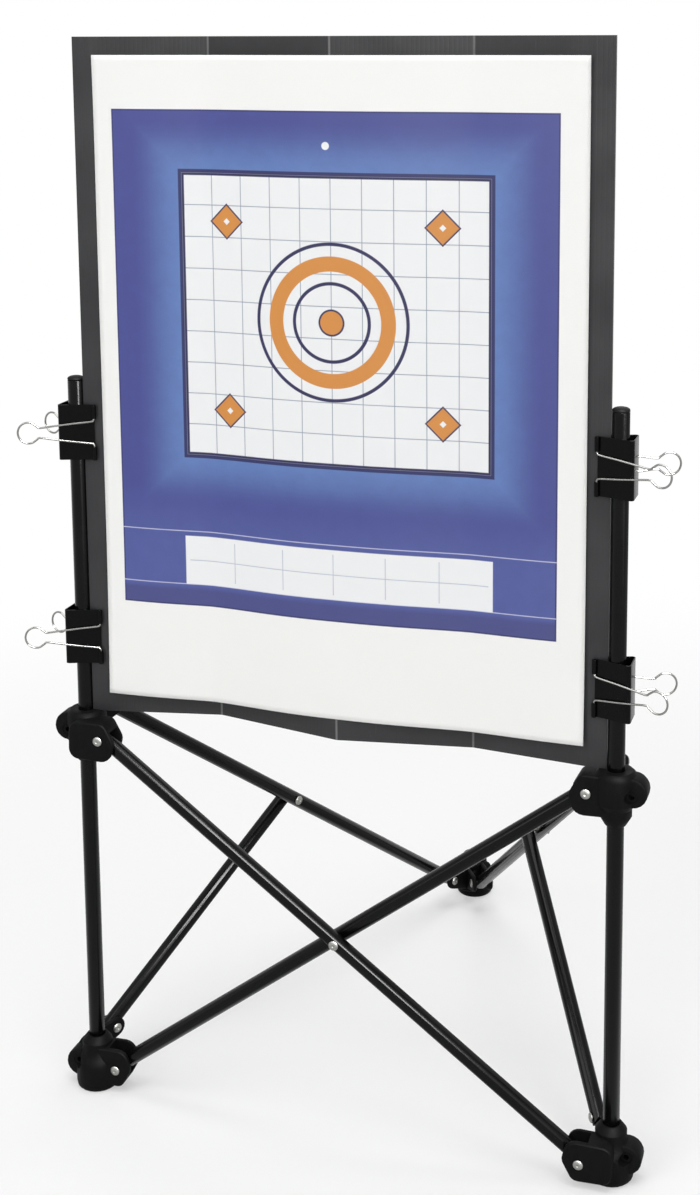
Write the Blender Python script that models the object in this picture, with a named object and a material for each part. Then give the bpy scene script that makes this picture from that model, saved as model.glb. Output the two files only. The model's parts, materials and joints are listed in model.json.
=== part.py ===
"""Folding target holder: two poles joined by a sliding scissor, a rear foot on two
diagonals with half-length braces, and a folded board with a sheet, held by clips.

Metres, +Z up. The poles stand in a plane square to Y, with the left pole at -X and
the rear foot at +Y. The origin is under the middle of the bounding box."""

import math

import bmesh
import bpy
from mathutils import Matrix, Vector

# Fits
GAP = 0.0003  # between touching pieces
RUNNING_GAP = 0.0005  # between two bars that turn on one rivet
OVERCUT = 0.010  # how far a cutting shape reaches past what it cuts

# Poles
POLE_SPACING = 0.500
POLE_RADIUS = 0.0075
POLE_WALL = 0.0010
POLE_TOP = 0.690
CAP_HEAD_HEIGHT = 0.004
CAP_HEAD_OVERHANG = 0.0001
CAP_PLUG_DEPTH = 0.014
CAP_PLUG_TAPER = 0.0021

# Linkage
BAR_RADIUS = 0.007
EAR_OFFSET = 0.024  # from the pole's axis to a scissor pivot
FOOT_PIVOT_HEIGHT = 0.022
HUB_PIVOT_HEIGHT = 0.358
FRONT_BAR_Y = -0.0155
SIDE_ANGLE = math.radians(30)  # between each side's plane and straight back
HUB_REAR_PIVOT_IN = 0.004
HUB_REAR_PIVOT_BACK = 0.036
REAR_PIVOT_LIFT = 0.012  # above the scissor's pivots
REAR_FOOT_BACK = 0.045  # from the rear pivots to the rear foot's axis
BAR_END_SPARE = 0.002  # extra length that the rounding of the ends takes off

# Fittings
SOCKET_FLOOR = 0.006
FOOT_RADIUS = 0.0205
FOOT_SOLE_RADIUS = 0.0185
FOOT_SHOULDER_HEIGHT = 0.030
SOLE_EDGE = 0.0014
COLLAR_RADIUS = 0.0142
BORE_LIP = 0.0016  # from the bore to the outer edge of the mouth
FOOT_HEIGHT = 0.0505
REAR_FOOT_HEIGHT = 0.046
REAR_WEB_HALF = 0.0085  # the block that ties the inner cheeks together
REAR_WEB_BACK = 0.0130  # from the rear pivots to the front of that block
REAR_WEB_HEIGHTS = (0.017, 0.032)
REAR_WEB_CORNER = 0.004
HUB_RADIUS = 0.0185
HUB_ABOVE_PIVOT = 0.020
HUB_BELOW_PIVOT = 0.029
CHEEK = 0.0042  # a clevis cheek's thickness
LUG = 0.0052  # a single lug's thickness
LUG_END_RADIUS = 0.0095
EDGE_ROUNDING = 0.0011
HUB_LOBE_LIFT = 0.0035
LOBE_OFFSET = 0.0150  # from the pole's axis to the middle of the outer lobe
LOBE_RADIUS = 0.0135
LOBE_THICKNESS = 0.0200
LOBE_HOLE_SHIFT = 0.0030  # from the lobe's middle to its hole, away from the collar's end
LOBE_HOLE_RADIUS = 0.0027
LOBE_RIM_RADIUS = 0.0056
LOBE_RIM_DEPTH = 0.0008

# Outlines of clevises and lugs, as circles (out, up, radius) from the pole's axis or the pivot
CLEVIS_ROOT = ((0.0036, 0.0100, 0.0095), (0.0036, -0.0070, 0.0090))
CLEVIS_TIP = ((0.0020, 0.0085, 0.0115), (0.0045, 0.0030, 0.0105), (0.0010, -0.0085, 0.0080))
FOOT_LUG_ROOT = ((0.0, -0.0140, 0.0080), (0.0, -0.0040, 0.0090))
HUB_LUG_ROOT = ((0.0, -0.0120, 0.0090), (0.0, -0.0050, 0.0090))
REAR_LUG_ROOT = ((0.0, -0.0140, 0.0120), (0.0, -0.0060, 0.0120))
LUG_ROOT_BLOCK = ((0.0060, -0.0160, 0.0080), (0.0060, -0.0030, 0.0080))

# Rivets
RIVET_RADIUS = 0.0025
RIVET_HEAD_RADIUS = 0.0046
RIVET_HEAD_HEIGHT = 0.0019

# Board and sheet
BOARD_TOP = 0.998
BOARD_THICKNESS = 0.004
BOARD_CREASES = (0.020, -0.006, 0.012)  # how far back each crease stands
BOARD_CLAMPED = 0.016  # the flat strip at each edge, inside the clips
SHEET_HEIGHT = 0.584
SHEET_THICKNESS = 0.0004
SHEET_TOP_MARGIN = 0.016
SHEET_SIDE_MARGIN = 0.01985
SHEET_STAND_OFF = 0.001  # how far the sheet's edges stand off the board
SHEET_SAG = 0.45  # how much of the board's folds the sheet follows

# Clips
CLIP_WIDTH = 0.051
UPPER_CLIP_BELOW_TOP = 0.047  # from the poles' tops to the middle of the upper clips
LOWER_CLIP_ABOVE_EDGE = 0.0717  # from the board's lower edge to the middle of the lower clips
CLIP_SHEET = 0.0010
CLIP_DEPTH = 0.0310
CLIP_SPINE_HALF = 0.0123
CLIP_SPINE_CLEARANCE = 0.0050  # from the pole's surface to the inside of the spine
ROLL_BORE_RADIUS = 0.0013
ROLL_WALL = 0.0007
ROLL_LENGTH = 0.0125
WIRE_RADIUS = 0.0009
HANDLE_LENGTH = 0.070
HANDLE_HALF_WIDTHS = (0.0104, 0.0078, 0.0058, 0.0084, 0.0098)
HANDLE_BEND = 0.0028  # from the hinge to where the wire has turned outwards
HANDLE_END_GAP = 0.002  # from the clip's end to the wire's end

# Facets
ROUND_STEPS = 24
CAP_STEPS = 16
BAR_STEPS = 22
RIVET_STEPS = 10
RIM_STEPS = 14
ARC_STEPS = 5
END_STEPS = 5

# Worked out from the above
HOLE_RADIUS = RIVET_RADIUS + GAP
BORE_RADIUS = POLE_RADIUS + GAP
REAR_BAR_Y = FRONT_BAR_Y + 2 * BAR_RADIUS + RUNNING_GAP
BAR_RUN = POLE_SPACING - 2 * EAR_OFFSET
BAR_RISE = HUB_PIVOT_HEIGHT - FOOT_PIVOT_HEIGHT
BAR_LENGTH = math.hypot(BAR_RUN, BAR_RISE)
BAR_ANGLE = math.atan2(BAR_RISE, BAR_RUN)
BRACE_OFFSET = 2 * BAR_RADIUS + RUNNING_GAP
REAR_FOOT_HALF = EAR_OFFSET - HUB_REAR_PIVOT_IN
BOARD_BOTTOM = HUB_PIVOT_HEIGHT + HUB_ABOVE_PIVOT + GAP
BOARD_HALF = POLE_SPACING / 2 - POLE_RADIUS - CAP_HEAD_OVERHANG - GAP
SHEET_WIDTH = 2 * (BOARD_HALF - SHEET_SIDE_MARGIN)
CLIP_CENTRES = (POLE_TOP - UPPER_CLIP_BELOW_TOP, BOARD_BOTTOM + LOWER_CLIP_ABOVE_EDGE)
REAR_FOOT_Y = HUB_REAR_PIVOT_BACK + BAR_RUN * math.cos(SIDE_ANGLE) + REAR_FOOT_BACK
REAR_PIVOT_Y = REAR_FOOT_Y - REAR_FOOT_BACK
CHEEK_FACE = BAR_RADIUS + GAP
CLEVIS_HALF = CHEEK_FACE + CHEEK
FRONT_EDGE = FRONT_BAR_Y - CLEVIS_HALF - GAP - RIVET_HEAD_HEIGHT
REAR_EDGE = REAR_FOOT_Y + FOOT_RADIUS
MIDDLE_Y = (FRONT_EDGE + REAR_EDGE) / 2
CROSSING = Vector((0, FRONT_BAR_Y, (FOOT_PIVOT_HEIGHT + HUB_PIVOT_HEIGHT) / 2))

LEFT = -1
RIGHT = 1
SIDE_NAMES = {LEFT: "left", RIGHT: "right"}
BAR_Y_AT_HUB = {LEFT: FRONT_BAR_Y, RIGHT: REAR_BAR_Y}
BAR_Y_AT_FOOT = {LEFT: REAR_BAR_Y, RIGHT: FRONT_BAR_Y}
BRACE_FACE = {LEFT: -1, RIGHT: 1}  # the face of its diagonal that a brace lies on: 1 is the inner one

bodies = {}

COLOURS = {
    "tube": ((0.006, 0.006, 0.007), 0.28, 0.2),
    "moulding": ((0.012, 0.012, 0.013), 0.5, 0.0),
    "cap": ((0.010, 0.010, 0.010), 0.55, 0.0),
    "rivet": ((0.42, 0.42, 0.43), 0.35, 0.9),
    "board": ((0.030, 0.031, 0.033), 0.6, 0.0),
    "sheet": ((0.80, 0.82, 0.85), 0.75, 0.0),
    "clip": ((0.008, 0.008, 0.008), 0.3, 0.3),
    "wire": ((0.62, 0.62, 0.63), 0.22, 1.0),
}


def clear_scene():
    for old in list(bpy.data.objects):
        bpy.data.objects.remove(old, do_unlink=True)


def make_material(name, kind):
    colour, roughness, metallic = COLOURS[kind]
    material = bpy.data.materials.new(name)
    material.use_nodes = True
    shader = material.node_tree.nodes["Principled BSDF"]
    shader.inputs["Base Color"].default_value = (*colour, 1.0)
    shader.inputs["Roughness"].default_value = roughness
    shader.inputs["Metallic"].default_value = metallic
    return material


def add_body(name, origin):
    """An empty on a body's joint axis, which carries the body's pieces."""
    body = bpy.data.objects.new(name, None)
    bpy.context.scene.collection.objects.link(body)
    body.location = Vector(origin) - Vector((0, MIDDLE_Y, 0))
    bodies[name] = (body, Vector(origin))
    return name


def add_object(name, data, body, kind=None, matrix=None):
    """Adds an object to a body. matrix places it among the poles, before the move to the middle."""
    thing = bpy.data.objects.new(name, data)
    bpy.context.scene.collection.objects.link(thing)
    carrier, origin = bodies[body]
    thing.parent = carrier
    thing.matrix_local = Matrix.Translation(-origin) @ (matrix or Matrix())
    if kind is not None:
        thing.data.materials.append(make_material(name, kind))
    return thing


def mesh_from(bm, name, sharp_angle=35):
    bmesh.ops.recalc_face_normals(bm, faces=bm.faces)
    mesh = bpy.data.meshes.new(name)
    bm.to_mesh(mesh)
    bm.free()
    mesh.shade_smooth()
    mesh.set_sharp_from_angle(angle=math.radians(sharp_angle))
    return mesh


def smooth_cuts(thing, sharp_angle=35):
    """Keeps round faces smooth and edges crisp after the Boolean cuts."""
    group = bpy.data.node_groups.get("Smooth by angle")
    if group is None:
        group = bpy.data.node_groups.new("Smooth by angle", "GeometryNodeTree")
        group.interface.new_socket("Geometry", in_out="INPUT", socket_type="NodeSocketGeometry")
        group.interface.new_socket("Geometry", in_out="OUTPUT", socket_type="NodeSocketGeometry")
        inlet = group.nodes.new("NodeGroupInput")
        outlet = group.nodes.new("NodeGroupOutput")
        angle = group.nodes.new("GeometryNodeInputMeshEdgeAngle")
        compare = group.nodes.new("FunctionNodeCompare")
        compare.operation = "LESS_EQUAL"
        compare.inputs[1].default_value = math.radians(sharp_angle)
        faces = group.nodes.new("GeometryNodeSetShadeSmooth")
        faces.domain = "FACE"
        edges = group.nodes.new("GeometryNodeSetShadeSmooth")
        edges.domain = "EDGE"
        group.links.new(inlet.outputs[0], faces.inputs["Geometry"])
        group.links.new(faces.outputs[0], edges.inputs["Geometry"])
        group.links.new(angle.outputs["Unsigned Angle"], compare.inputs[0])
        group.links.new(compare.outputs[0], edges.inputs["Shade Smooth"])
        group.links.new(edges.outputs[0], outlet.inputs[0])
    modifier = thing.modifiers.new("Smooth", "NODES")
    modifier.node_group = group


def frame_at(origin, along, across):
    """A matrix with local X along, local Y across and the origin at origin."""
    x_axis = Vector(along).normalized()
    y_axis = Vector(across).normalized()
    z_axis = x_axis.cross(y_axis)
    matrix = Matrix((x_axis, y_axis, z_axis)).transposed().to_4x4()
    matrix.translation = Vector(origin)
    return matrix


def turned(profile, steps=ROUND_STEPS):
    """A bmesh turned round Z from (radius, height) points; a radius of 0 is a pole."""
    bm = bmesh.new()
    rings = []
    for radius, height in profile:
        if radius == 0:
            rings.append([bm.verts.new((0, 0, height))])
            continue
        ring = []
        for step in range(steps):
            angle = 2 * math.pi * step / steps
            ring.append(bm.verts.new((radius * math.cos(angle), radius * math.sin(angle), height)))
        rings.append(ring)
    closed = len(rings[0]) > 1
    pairs = list(zip(rings, rings[1:]))
    if closed:
        pairs.append((rings[-1], rings[0]))
    for lower, upper in pairs:
        for step in range(steps):
            after = (step + 1) % steps
            corners = [lower[step % len(lower)], lower[after % len(lower)]]
            corners += [upper[after % len(upper)], upper[step % len(upper)]]
            unique = list(dict.fromkeys(corners))
            bm.faces.new(unique)
    return bm


def hull_outline(circles, steps=ARC_STEPS):
    """The belt round some circles, each (x, z, radius), as a list of (x, z) points."""
    points = []
    for x, z, radius in circles:
        for step in range(4 * steps):
            angle = 2 * math.pi * step / (4 * steps)
            points.append((x + radius * math.cos(angle), z + radius * math.sin(angle)))
    points.sort()
    halves = []
    for ordered in (points, points[::-1]):
        half = []
        for point in ordered:
            while len(half) > 1 and turn_of(half[-2], half[-1], point) <= 1e-10:
                half.pop()
            half.append(point)
        halves.append(half[:-1])
    return halves[0] + halves[1]


def turn_of(first, second, third):
    """Positive where the three points turn left."""
    ahead = (second[0] - first[0]) * (third[1] - first[1])
    aside = (second[1] - first[1]) * (third[0] - first[0])
    return ahead - aside


def plate(outline, y_from, y_to, rounding=0.0, segments=1):
    """A bmesh with an outline in X and Z, reaching from y_from to y_to, with rounded rims."""
    bm = bmesh.new()
    face = bm.faces.new([bm.verts.new((x, y_from, z)) for x, z in outline])
    swept = bmesh.ops.extrude_face_region(bm, geom=[face])
    moved = [item for item in swept["geom"] if isinstance(item, bmesh.types.BMVert)]
    bmesh.ops.translate(bm, verts=moved, vec=(0, y_to - y_from, 0))
    bmesh.ops.recalc_face_normals(bm, faces=bm.faces)
    if rounding > 0:
        rims = [edge for edge in bm.edges if abs(edge.verts[0].co.y - edge.verts[1].co.y) < 1e-9]
        bmesh.ops.bevel(bm, geom=rims, offset=rounding, segments=segments, profile=0.5, affect="EDGES")
    return bm


def pin_along_y(x, z, radius, y_from, y_to, steps=RIVET_STEPS):
    outline = []
    for step in range(steps):
        angle = 2 * math.pi * step / steps
        outline.append((x + radius * math.cos(angle), z + radius * math.sin(angle)))
    return plate(outline, y_from, y_to)


def combine(thing, operation, name, bm, matrix=None):
    """Adds (UNION), cuts (DIFFERENCE) or keeps (INTERSECT) a shape, as a live modifier."""
    tool = add_object(f"{name}_tool", mesh_from(bm, f"{name}_tool"), thing.parent.name, None, matrix)
    tool.hide_render = True
    tool.display_type = "WIRE"
    modifier = thing.modifiers.new(name, "BOOLEAN")
    modifier.operation = operation
    modifier.solver = "EXACT"
    modifier.object = tool


def pole_x(side):
    return side * POLE_SPACING / 2


def side_run(side):
    """The level direction that a side's diagonal runs back along."""
    return Vector((-side * math.sin(SIDE_ANGLE), math.cos(SIDE_ANGLE), 0))


def side_normal(side):
    """Square to a side's plane, towards the front and the middle."""
    return Vector((-side * math.cos(SIDE_ANGLE), -math.sin(SIDE_ANGLE), 0))


def scissor_pivot(side, height, bar_y):
    return Vector((side * (POLE_SPACING / 2 - EAR_OFFSET), bar_y, height))


def hub_rear_pivot(side):
    x = side * (POLE_SPACING / 2 - HUB_REAR_PIVOT_IN)
    return Vector((x, HUB_REAR_PIVOT_BACK, HUB_PIVOT_HEIGHT + REAR_PIVOT_LIFT))


def rear_foot_pivot(side):
    return Vector((side * REAR_FOOT_HALF, REAR_PIVOT_Y, FOOT_PIVOT_HEIGHT + REAR_PIVOT_LIFT))


def brace_foot_pivot(side):
    below_hub = hub_rear_pivot(side)
    below_hub.z = FOOT_PIVOT_HEIGHT + REAR_PIVOT_LIFT
    return below_hub + side_normal(side) * BRACE_FACE[side] * BRACE_OFFSET


def brace_top_pivot(side):
    middle = (hub_rear_pivot(side) + rear_foot_pivot(side)) / 2
    return middle + side_normal(side) * BRACE_FACE[side] * BRACE_OFFSET


def build_pole(side):
    name = f"{SIDE_NAMES[side]}_pole"
    bottom = SOCKET_FLOOR + GAP
    bore = POLE_RADIUS - POLE_WALL
    profile = [(bore, bottom), (POLE_RADIUS, bottom), (POLE_RADIUS, POLE_TOP), (bore, POLE_TOP)]
    mesh = mesh_from(turned(profile), name)
    place = Matrix.Translation((pole_x(side), 0, 0))
    return add_object(name, mesh, f"{SIDE_NAMES[side]}_post", "tube", place)


def build_pole_cap(side):
    """A push-in cap with a domed head and a plug that stops short of the bore's wall."""
    name = f"{SIDE_NAMES[side]}_pole_cap"
    head = POLE_RADIUS + CAP_HEAD_OVERHANG
    plug = POLE_RADIUS - POLE_WALL - GAP
    profile = [(0, -CAP_PLUG_DEPTH), (plug - CAP_PLUG_TAPER / 2, -CAP_PLUG_DEPTH)]
    profile += [(plug, CAP_PLUG_TAPER - CAP_PLUG_DEPTH), (plug, GAP), (head, GAP)]
    for step in range(4):
        angle = math.radians(90 * step / 4)
        profile.append((head * math.cos(angle) ** 0.7, CAP_HEAD_HEIGHT * (0.35 + 0.65 * math.sin(angle))))
    profile.append((0, CAP_HEAD_HEIGHT))
    mesh = mesh_from(turned(profile, CAP_STEPS), name)
    place = Matrix.Translation((pole_x(side), 0, POLE_TOP))
    return add_object(name, mesh, f"{SIDE_NAMES[side]}_post", "cap", place)


def foot_profile(top):
    """Half the outline of a foot's turned body, from its sole to its top."""
    shoulder = FOOT_SHOULDER_HEIGHT
    collar_from = shoulder + 0.35 * (top - shoulder)
    collar_to = top - 0.30 * (top - shoulder)
    profile = [(0, 0), (FOOT_SOLE_RADIUS, 0), (FOOT_SOLE_RADIUS + SOLE_EDGE, SOLE_EDGE)]
    profile += [(FOOT_RADIUS, 0.15 * shoulder), (FOOT_RADIUS, 0.75 * shoulder)]
    profile += [(0.96 * FOOT_RADIUS, 0.9 * shoulder), (0.84 * FOOT_RADIUS, shoulder)]
    profile += [(COLLAR_RADIUS, collar_from), (COLLAR_RADIUS, collar_to)]
    return profile


def hub_profile():
    """Half the outline of a hub's turned body, with its collar below, about its pivot's height."""
    top = HUB_ABOVE_PIVOT
    bottom = -HUB_BELOW_PIVOT
    collar = COLLAR_RADIUS
    profile = [(0, bottom), (BORE_RADIUS + BORE_LIP, bottom), (collar, 0.72 * bottom)]
    profile += [(collar, 0.48 * bottom), (HUB_RADIUS, 0.28 * bottom), (HUB_RADIUS, 0.70 * top)]
    profile += [(0.93 * HUB_RADIUS, 0.89 * top), (0.80 * HUB_RADIUS, top), (0, top)]
    return profile


def add_clevis(thing, side, pivot, up):
    """Adds a scissor clevis to a fitting and cuts its slot and rivet hole.

    up is 1 where the bar rises from the pivot, as in a foot, and -1 where it hangs."""
    inward = -side
    axis_x = pole_x(side)
    circles = [(out, rise * up, radius) for out, rise, radius in CLEVIS_ROOT]
    circles += [(EAR_OFFSET + out, rise * up, radius) for out, rise, radius in CLEVIS_TIP]
    outline = [(axis_x + inward * x, pivot.z + z) for x, z in hull_outline(circles)]
    y_from = pivot.y - CLEVIS_HALF
    y_to = pivot.y + CLEVIS_HALF
    combine(thing, "UNION", f"{thing.name}_clevis", plate(outline, y_from, y_to, EDGE_ROUNDING))
    slot = BAR_RADIUS + 3 * GAP
    far = 3 * EAR_OFFSET
    circles = [(0, 0, slot), (far, 0, slot), (far, far * up, slot), (0, far * up, slot)]
    cut = [(pivot.x + inward * x, pivot.z + z) for x, z in hull_outline(circles)]
    slot_shape = plate(cut, pivot.y - CHEEK_FACE, pivot.y + CHEEK_FACE)
    combine(thing, "DIFFERENCE", f"{thing.name}_slot", slot_shape)
    hole = pin_along_y(pivot.x, pivot.z, HOLE_RADIUS, y_from - OVERCUT, y_to + OVERCUT)
    combine(thing, "DIFFERENCE", f"{thing.name}_rivet_hole", hole)
    seat = RIVET_HEAD_RADIUS + 2 * GAP
    seats = {"front": (y_from - OVERCUT, y_from), "rear": (y_to, y_to + OVERCUT)}
    for label, reach in seats.items():
        shape = pin_along_y(pivot.x, pivot.z, seat, *reach)
        combine(thing, "DIFFERENCE", f"{thing.name}_{label}_head_seat", shape)


def add_lobe(thing, side, height, up):
    """Adds the outer lobe with its unused pivot hole and the shallow rim round the hole."""
    axis_x = pole_x(side)
    half = LOBE_THICKNESS / 2
    circles = [(0, height, LOBE_RADIUS), (LOBE_OFFSET, height, LOBE_RADIUS)]
    outline = [(axis_x + side * x, z) for x, z in hull_outline(circles)]
    combine(thing, "UNION", f"{thing.name}_lobe", plate(outline, -half, half, 2 * EDGE_ROUNDING, 2))
    x = axis_x + side * LOBE_OFFSET
    hole_height = height + up * LOBE_HOLE_SHIFT
    rim = pin_along_y(x, hole_height, LOBE_RIM_RADIUS, -half - OVERCUT, LOBE_RIM_DEPTH - half, RIM_STEPS)
    combine(thing, "DIFFERENCE", f"{thing.name}_lobe_rim", rim)
    hole = pin_along_y(x, hole_height, LOBE_HOLE_RADIUS, -half - OVERCUT, half + OVERCUT)
    combine(thing, "DIFFERENCE", f"{thing.name}_lobe_hole", hole)


def lug_faces(side_of_bar):
    """Where a single lug begins and ends, on the inner (1) or outer (-1) side of its bar."""
    return sorted((side_of_bar * CHEEK_FACE, side_of_bar * (CHEEK_FACE + LUG)))


def rivet_reach(side_of_bar):
    """What a rivet spans in a bar and the single lug beside it."""
    return sorted((-side_of_bar * BAR_RADIUS, side_of_bar * (CHEEK_FACE + LUG)))


def add_side_lug(thing, label, pivot, side, axis_point, root, faces):
    """Adds a lug in a side's plane, from the body's axis to its pivot, with a rivet hole.

    root is some circles beside the body's axis, (run, height from the pivot, radius), and
    faces is where the lug begins and ends along the plane's normal."""
    matrix = frame_at(pivot, side_run(side), side_normal(side))
    up = side
    root_run = (Vector(axis_point) - pivot).dot(side_run(side))
    circles = [(0, 0, LUG_END_RADIUS)]
    circles += [(root_run + run, height, radius) for run, height, radius in root]
    outline = [(x, up * z) for x, z in hull_outline(circles)]
    shape = plate(outline, faces[0], faces[1], EDGE_ROUNDING)
    combine(thing, "UNION", f"{thing.name}_{label}", shape, matrix)
    hole = pin_along_y(0, 0, HOLE_RADIUS, faces[0] - GAP, faces[1] + GAP)
    combine(thing, "DIFFERENCE", f"{thing.name}_{label}_hole", hole, matrix)


def add_lug_root(thing, pivot, side, axis_point, faces):
    """Adds the thick root that ties a lug to a body whose axis lies beside the lug's plane."""
    matrix = frame_at(pivot, side_run(side), side_normal(side))
    root_run = (Vector(axis_point) - pivot).dot(side_run(side))
    up = side
    circles = [(root_run + run, height, radius) for run, height, radius in LUG_ROOT_BLOCK]
    outline = [(x, up * z) for x, z in hull_outline(circles)]
    combine(thing, "UNION", f"{thing.name}_lug_root", plate(outline, *faces, EDGE_ROUNDING), matrix)


def cut_pole_bore(thing, side, z_from, z_to):
    turn = Matrix.Rotation(math.radians(90), 4, "X")
    upright = Matrix.Translation((pole_x(side), 0, 0)) @ turn
    shape = pin_along_y(0, 0, BORE_RADIUS, z_from, z_to, ROUND_STEPS)
    combine(thing, "DIFFERENCE", f"{thing.name}_bore", shape, upright)


def build_foot(side):
    name = f"{SIDE_NAMES[side]}_foot"
    profile = foot_profile(FOOT_HEIGHT)
    profile += [(BORE_RADIUS + BORE_LIP, FOOT_HEIGHT), (0, FOOT_HEIGHT)]
    place = Matrix.Translation((pole_x(side), 0, 0))
    foot = add_object(name, mesh_from(turned(profile), name), f"{SIDE_NAMES[side]}_post", "moulding", place)
    add_lobe(foot, side, FOOT_PIVOT_HEIGHT, 1)
    pivot = brace_foot_pivot(side)
    axis_point = (pole_x(side), 0, 0)
    to_axis = (Vector(axis_point) - pivot).dot(side_normal(side))
    faces = lug_faces(-BRACE_FACE[side])
    add_lug_root(foot, pivot, side, axis_point, sorted((-BRACE_FACE[side] * CHEEK_FACE, to_axis)))
    add_side_lug(foot, "brace_lug", pivot, side, axis_point, FOOT_LUG_ROOT, faces)
    add_clevis(foot, side, scissor_pivot(side, FOOT_PIVOT_HEIGHT, BAR_Y_AT_FOOT[side]), 1)
    cut_pole_bore(foot, side, SOCKET_FLOOR, FOOT_HEIGHT + OVERCUT)
    smooth_cuts(foot)
    return foot


def build_rear_foot():
    """The third foot: the same body with a closed top, and a clevis for each diagonal."""
    name = "rear_foot"
    profile = foot_profile(REAR_FOOT_HEIGHT)
    for step in range(1, 4):
        angle = math.radians(90 * step / 4)
        crown = 0.35 * COLLAR_RADIUS * (1 - math.sin(angle))
        profile.append((COLLAR_RADIUS * math.cos(angle), REAR_FOOT_HEIGHT - 0.3 * crown))
    profile.append((0, REAR_FOOT_HEIGHT))
    axis_point = (0, REAR_FOOT_Y, 0)
    place = Matrix.Translation(axis_point)
    foot = add_object(name, mesh_from(turned(profile), name), "rear_foot_body", "moulding", place)
    corner = REAR_WEB_CORNER
    circles = [(x * (REAR_WEB_HALF - corner), z, corner) for x in (-1, 1) for z in REAR_WEB_HEIGHTS]
    web = plate(hull_outline(circles, 3), REAR_PIVOT_Y + REAR_WEB_BACK, REAR_FOOT_Y, EDGE_ROUNDING)
    combine(foot, "UNION", "rear_foot_web", web)
    inner = (CHEEK_FACE, CHEEK_FACE + CHEEK)
    outer = (-CHEEK_FACE - CHEEK, -CHEEK_FACE)
    for side in (LEFT, RIGHT):
        pivot = rear_foot_pivot(side)
        side_name = SIDE_NAMES[side]
        add_side_lug(foot, f"{side_name}_inner_cheek", pivot, side, axis_point, REAR_LUG_ROOT, inner)
        add_side_lug(foot, f"{side_name}_outer_cheek", pivot, side, axis_point, REAR_LUG_ROOT, outer)
    smooth_cuts(foot)
    return foot


def build_hub(side):
    name = f"{SIDE_NAMES[side]}_hub"
    place = Matrix.Translation((pole_x(side), 0, HUB_PIVOT_HEIGHT))
    hub = add_object(name, mesh_from(turned(hub_profile()), name), f"{name}_body", "moulding", place)
    add_lobe(hub, side, HUB_PIVOT_HEIGHT + HUB_LOBE_LIFT, -1)
    axis_point = (pole_x(side), 0, 0)
    add_side_lug(hub, "diagonal_lug", hub_rear_pivot(side), side, axis_point, HUB_LUG_ROOT, lug_faces(1))
    add_clevis(hub, side, scissor_pivot(side, HUB_PIVOT_HEIGHT, BAR_Y_AT_HUB[side]), -1)
    top = HUB_PIVOT_HEIGHT + HUB_ABOVE_PIVOT
    bottom = HUB_PIVOT_HEIGHT - HUB_BELOW_PIVOT
    cut_pole_bore(hub, side, bottom - OVERCUT, top + OVERCUT)
    smooth_cuts(hub)
    return hub


def build_bar(name, body, origin, along, across, start, length, holes):
    """A round bar whose ends are rounded about their pivots, with a hole at each run in holes.

    start is where the first pivot lies along the bar, from the object's origin."""
    matrix = frame_at(origin, along, across)
    bm = bmesh.new()
    total = length + 2 * BAR_RADIUS + BAR_END_SPARE
    bmesh.ops.create_cone(
        bm, segments=BAR_STEPS, cap_ends=True, radius1=BAR_RADIUS, radius2=BAR_RADIUS, depth=total
    )
    to_run = Matrix.Rotation(math.radians(90), 4, "Y")
    middle = Matrix.Translation((start + length / 2, 0, 0))
    bmesh.ops.transform(bm, matrix=middle @ to_run, verts=bm.verts)
    bar = add_object(name, mesh_from(bm, name), body, "tube", matrix)
    width = BAR_RADIUS + GAP
    rounded = [(start, 0, BAR_RADIUS), (start + length, 0, BAR_RADIUS)]
    rounded += [(start + 2 * BAR_RADIUS, 0, width), (start + length - 2 * BAR_RADIUS, 0, width)]
    keep = plate(hull_outline(rounded, END_STEPS), -width, width)
    combine(bar, "INTERSECT", f"{name}_round_ends", keep, matrix)
    for number, run in enumerate(holes):
        hole = pin_along_y(run, 0, HOLE_RADIUS, -2 * width, 2 * width)
        combine(bar, "DIFFERENCE", f"{name}_hole_{number}", hole, matrix)
    smooth_cuts(bar)
    return bar


def build_scissor():
    """The bars between the poles: front from the left hub, rear from the left foot."""
    half = BAR_LENGTH / 2
    falling = Vector((math.cos(BAR_ANGLE), 0, -math.sin(BAR_ANGLE)))
    rising = Vector((math.cos(BAR_ANGLE), 0, math.sin(BAR_ANGLE)))
    across = (0, 1, 0)
    front_holes = (-half, 0, half)
    rear_holes = (0, half, BAR_LENGTH)
    rear_from = scissor_pivot(LEFT, FOOT_PIVOT_HEIGHT, REAR_BAR_Y)
    build_bar(
        "scissor_bar_front", "front_bar_body", CROSSING, falling, across, -half, BAR_LENGTH, front_holes
    )
    build_bar("scissor_bar_rear", "rear_bar_body", rear_from, rising, across, 0, BAR_LENGTH, rear_holes)


def build_side_bars(side):
    """A side's diagonal, from its hub to the rear foot, and its brace, from its front foot."""
    level = side_run(side) * math.cos(BAR_ANGLE)
    drop = Vector((0, 0, math.sin(BAR_ANGLE)))
    across = side_normal(side)
    half = BAR_LENGTH / 2
    name = SIDE_NAMES[side]
    top = hub_rear_pivot(side)
    foot = brace_foot_pivot(side)
    holes = (0, half, BAR_LENGTH)
    build_bar(
        f"{name}_rear_diagonal", f"{name}_diagonal_body", top, level - drop, across, 0, BAR_LENGTH, holes
    )
    build_bar(f"{name}_brace", f"{name}_brace_body", foot, level + drop, across, 0, half, (0, half))


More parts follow.
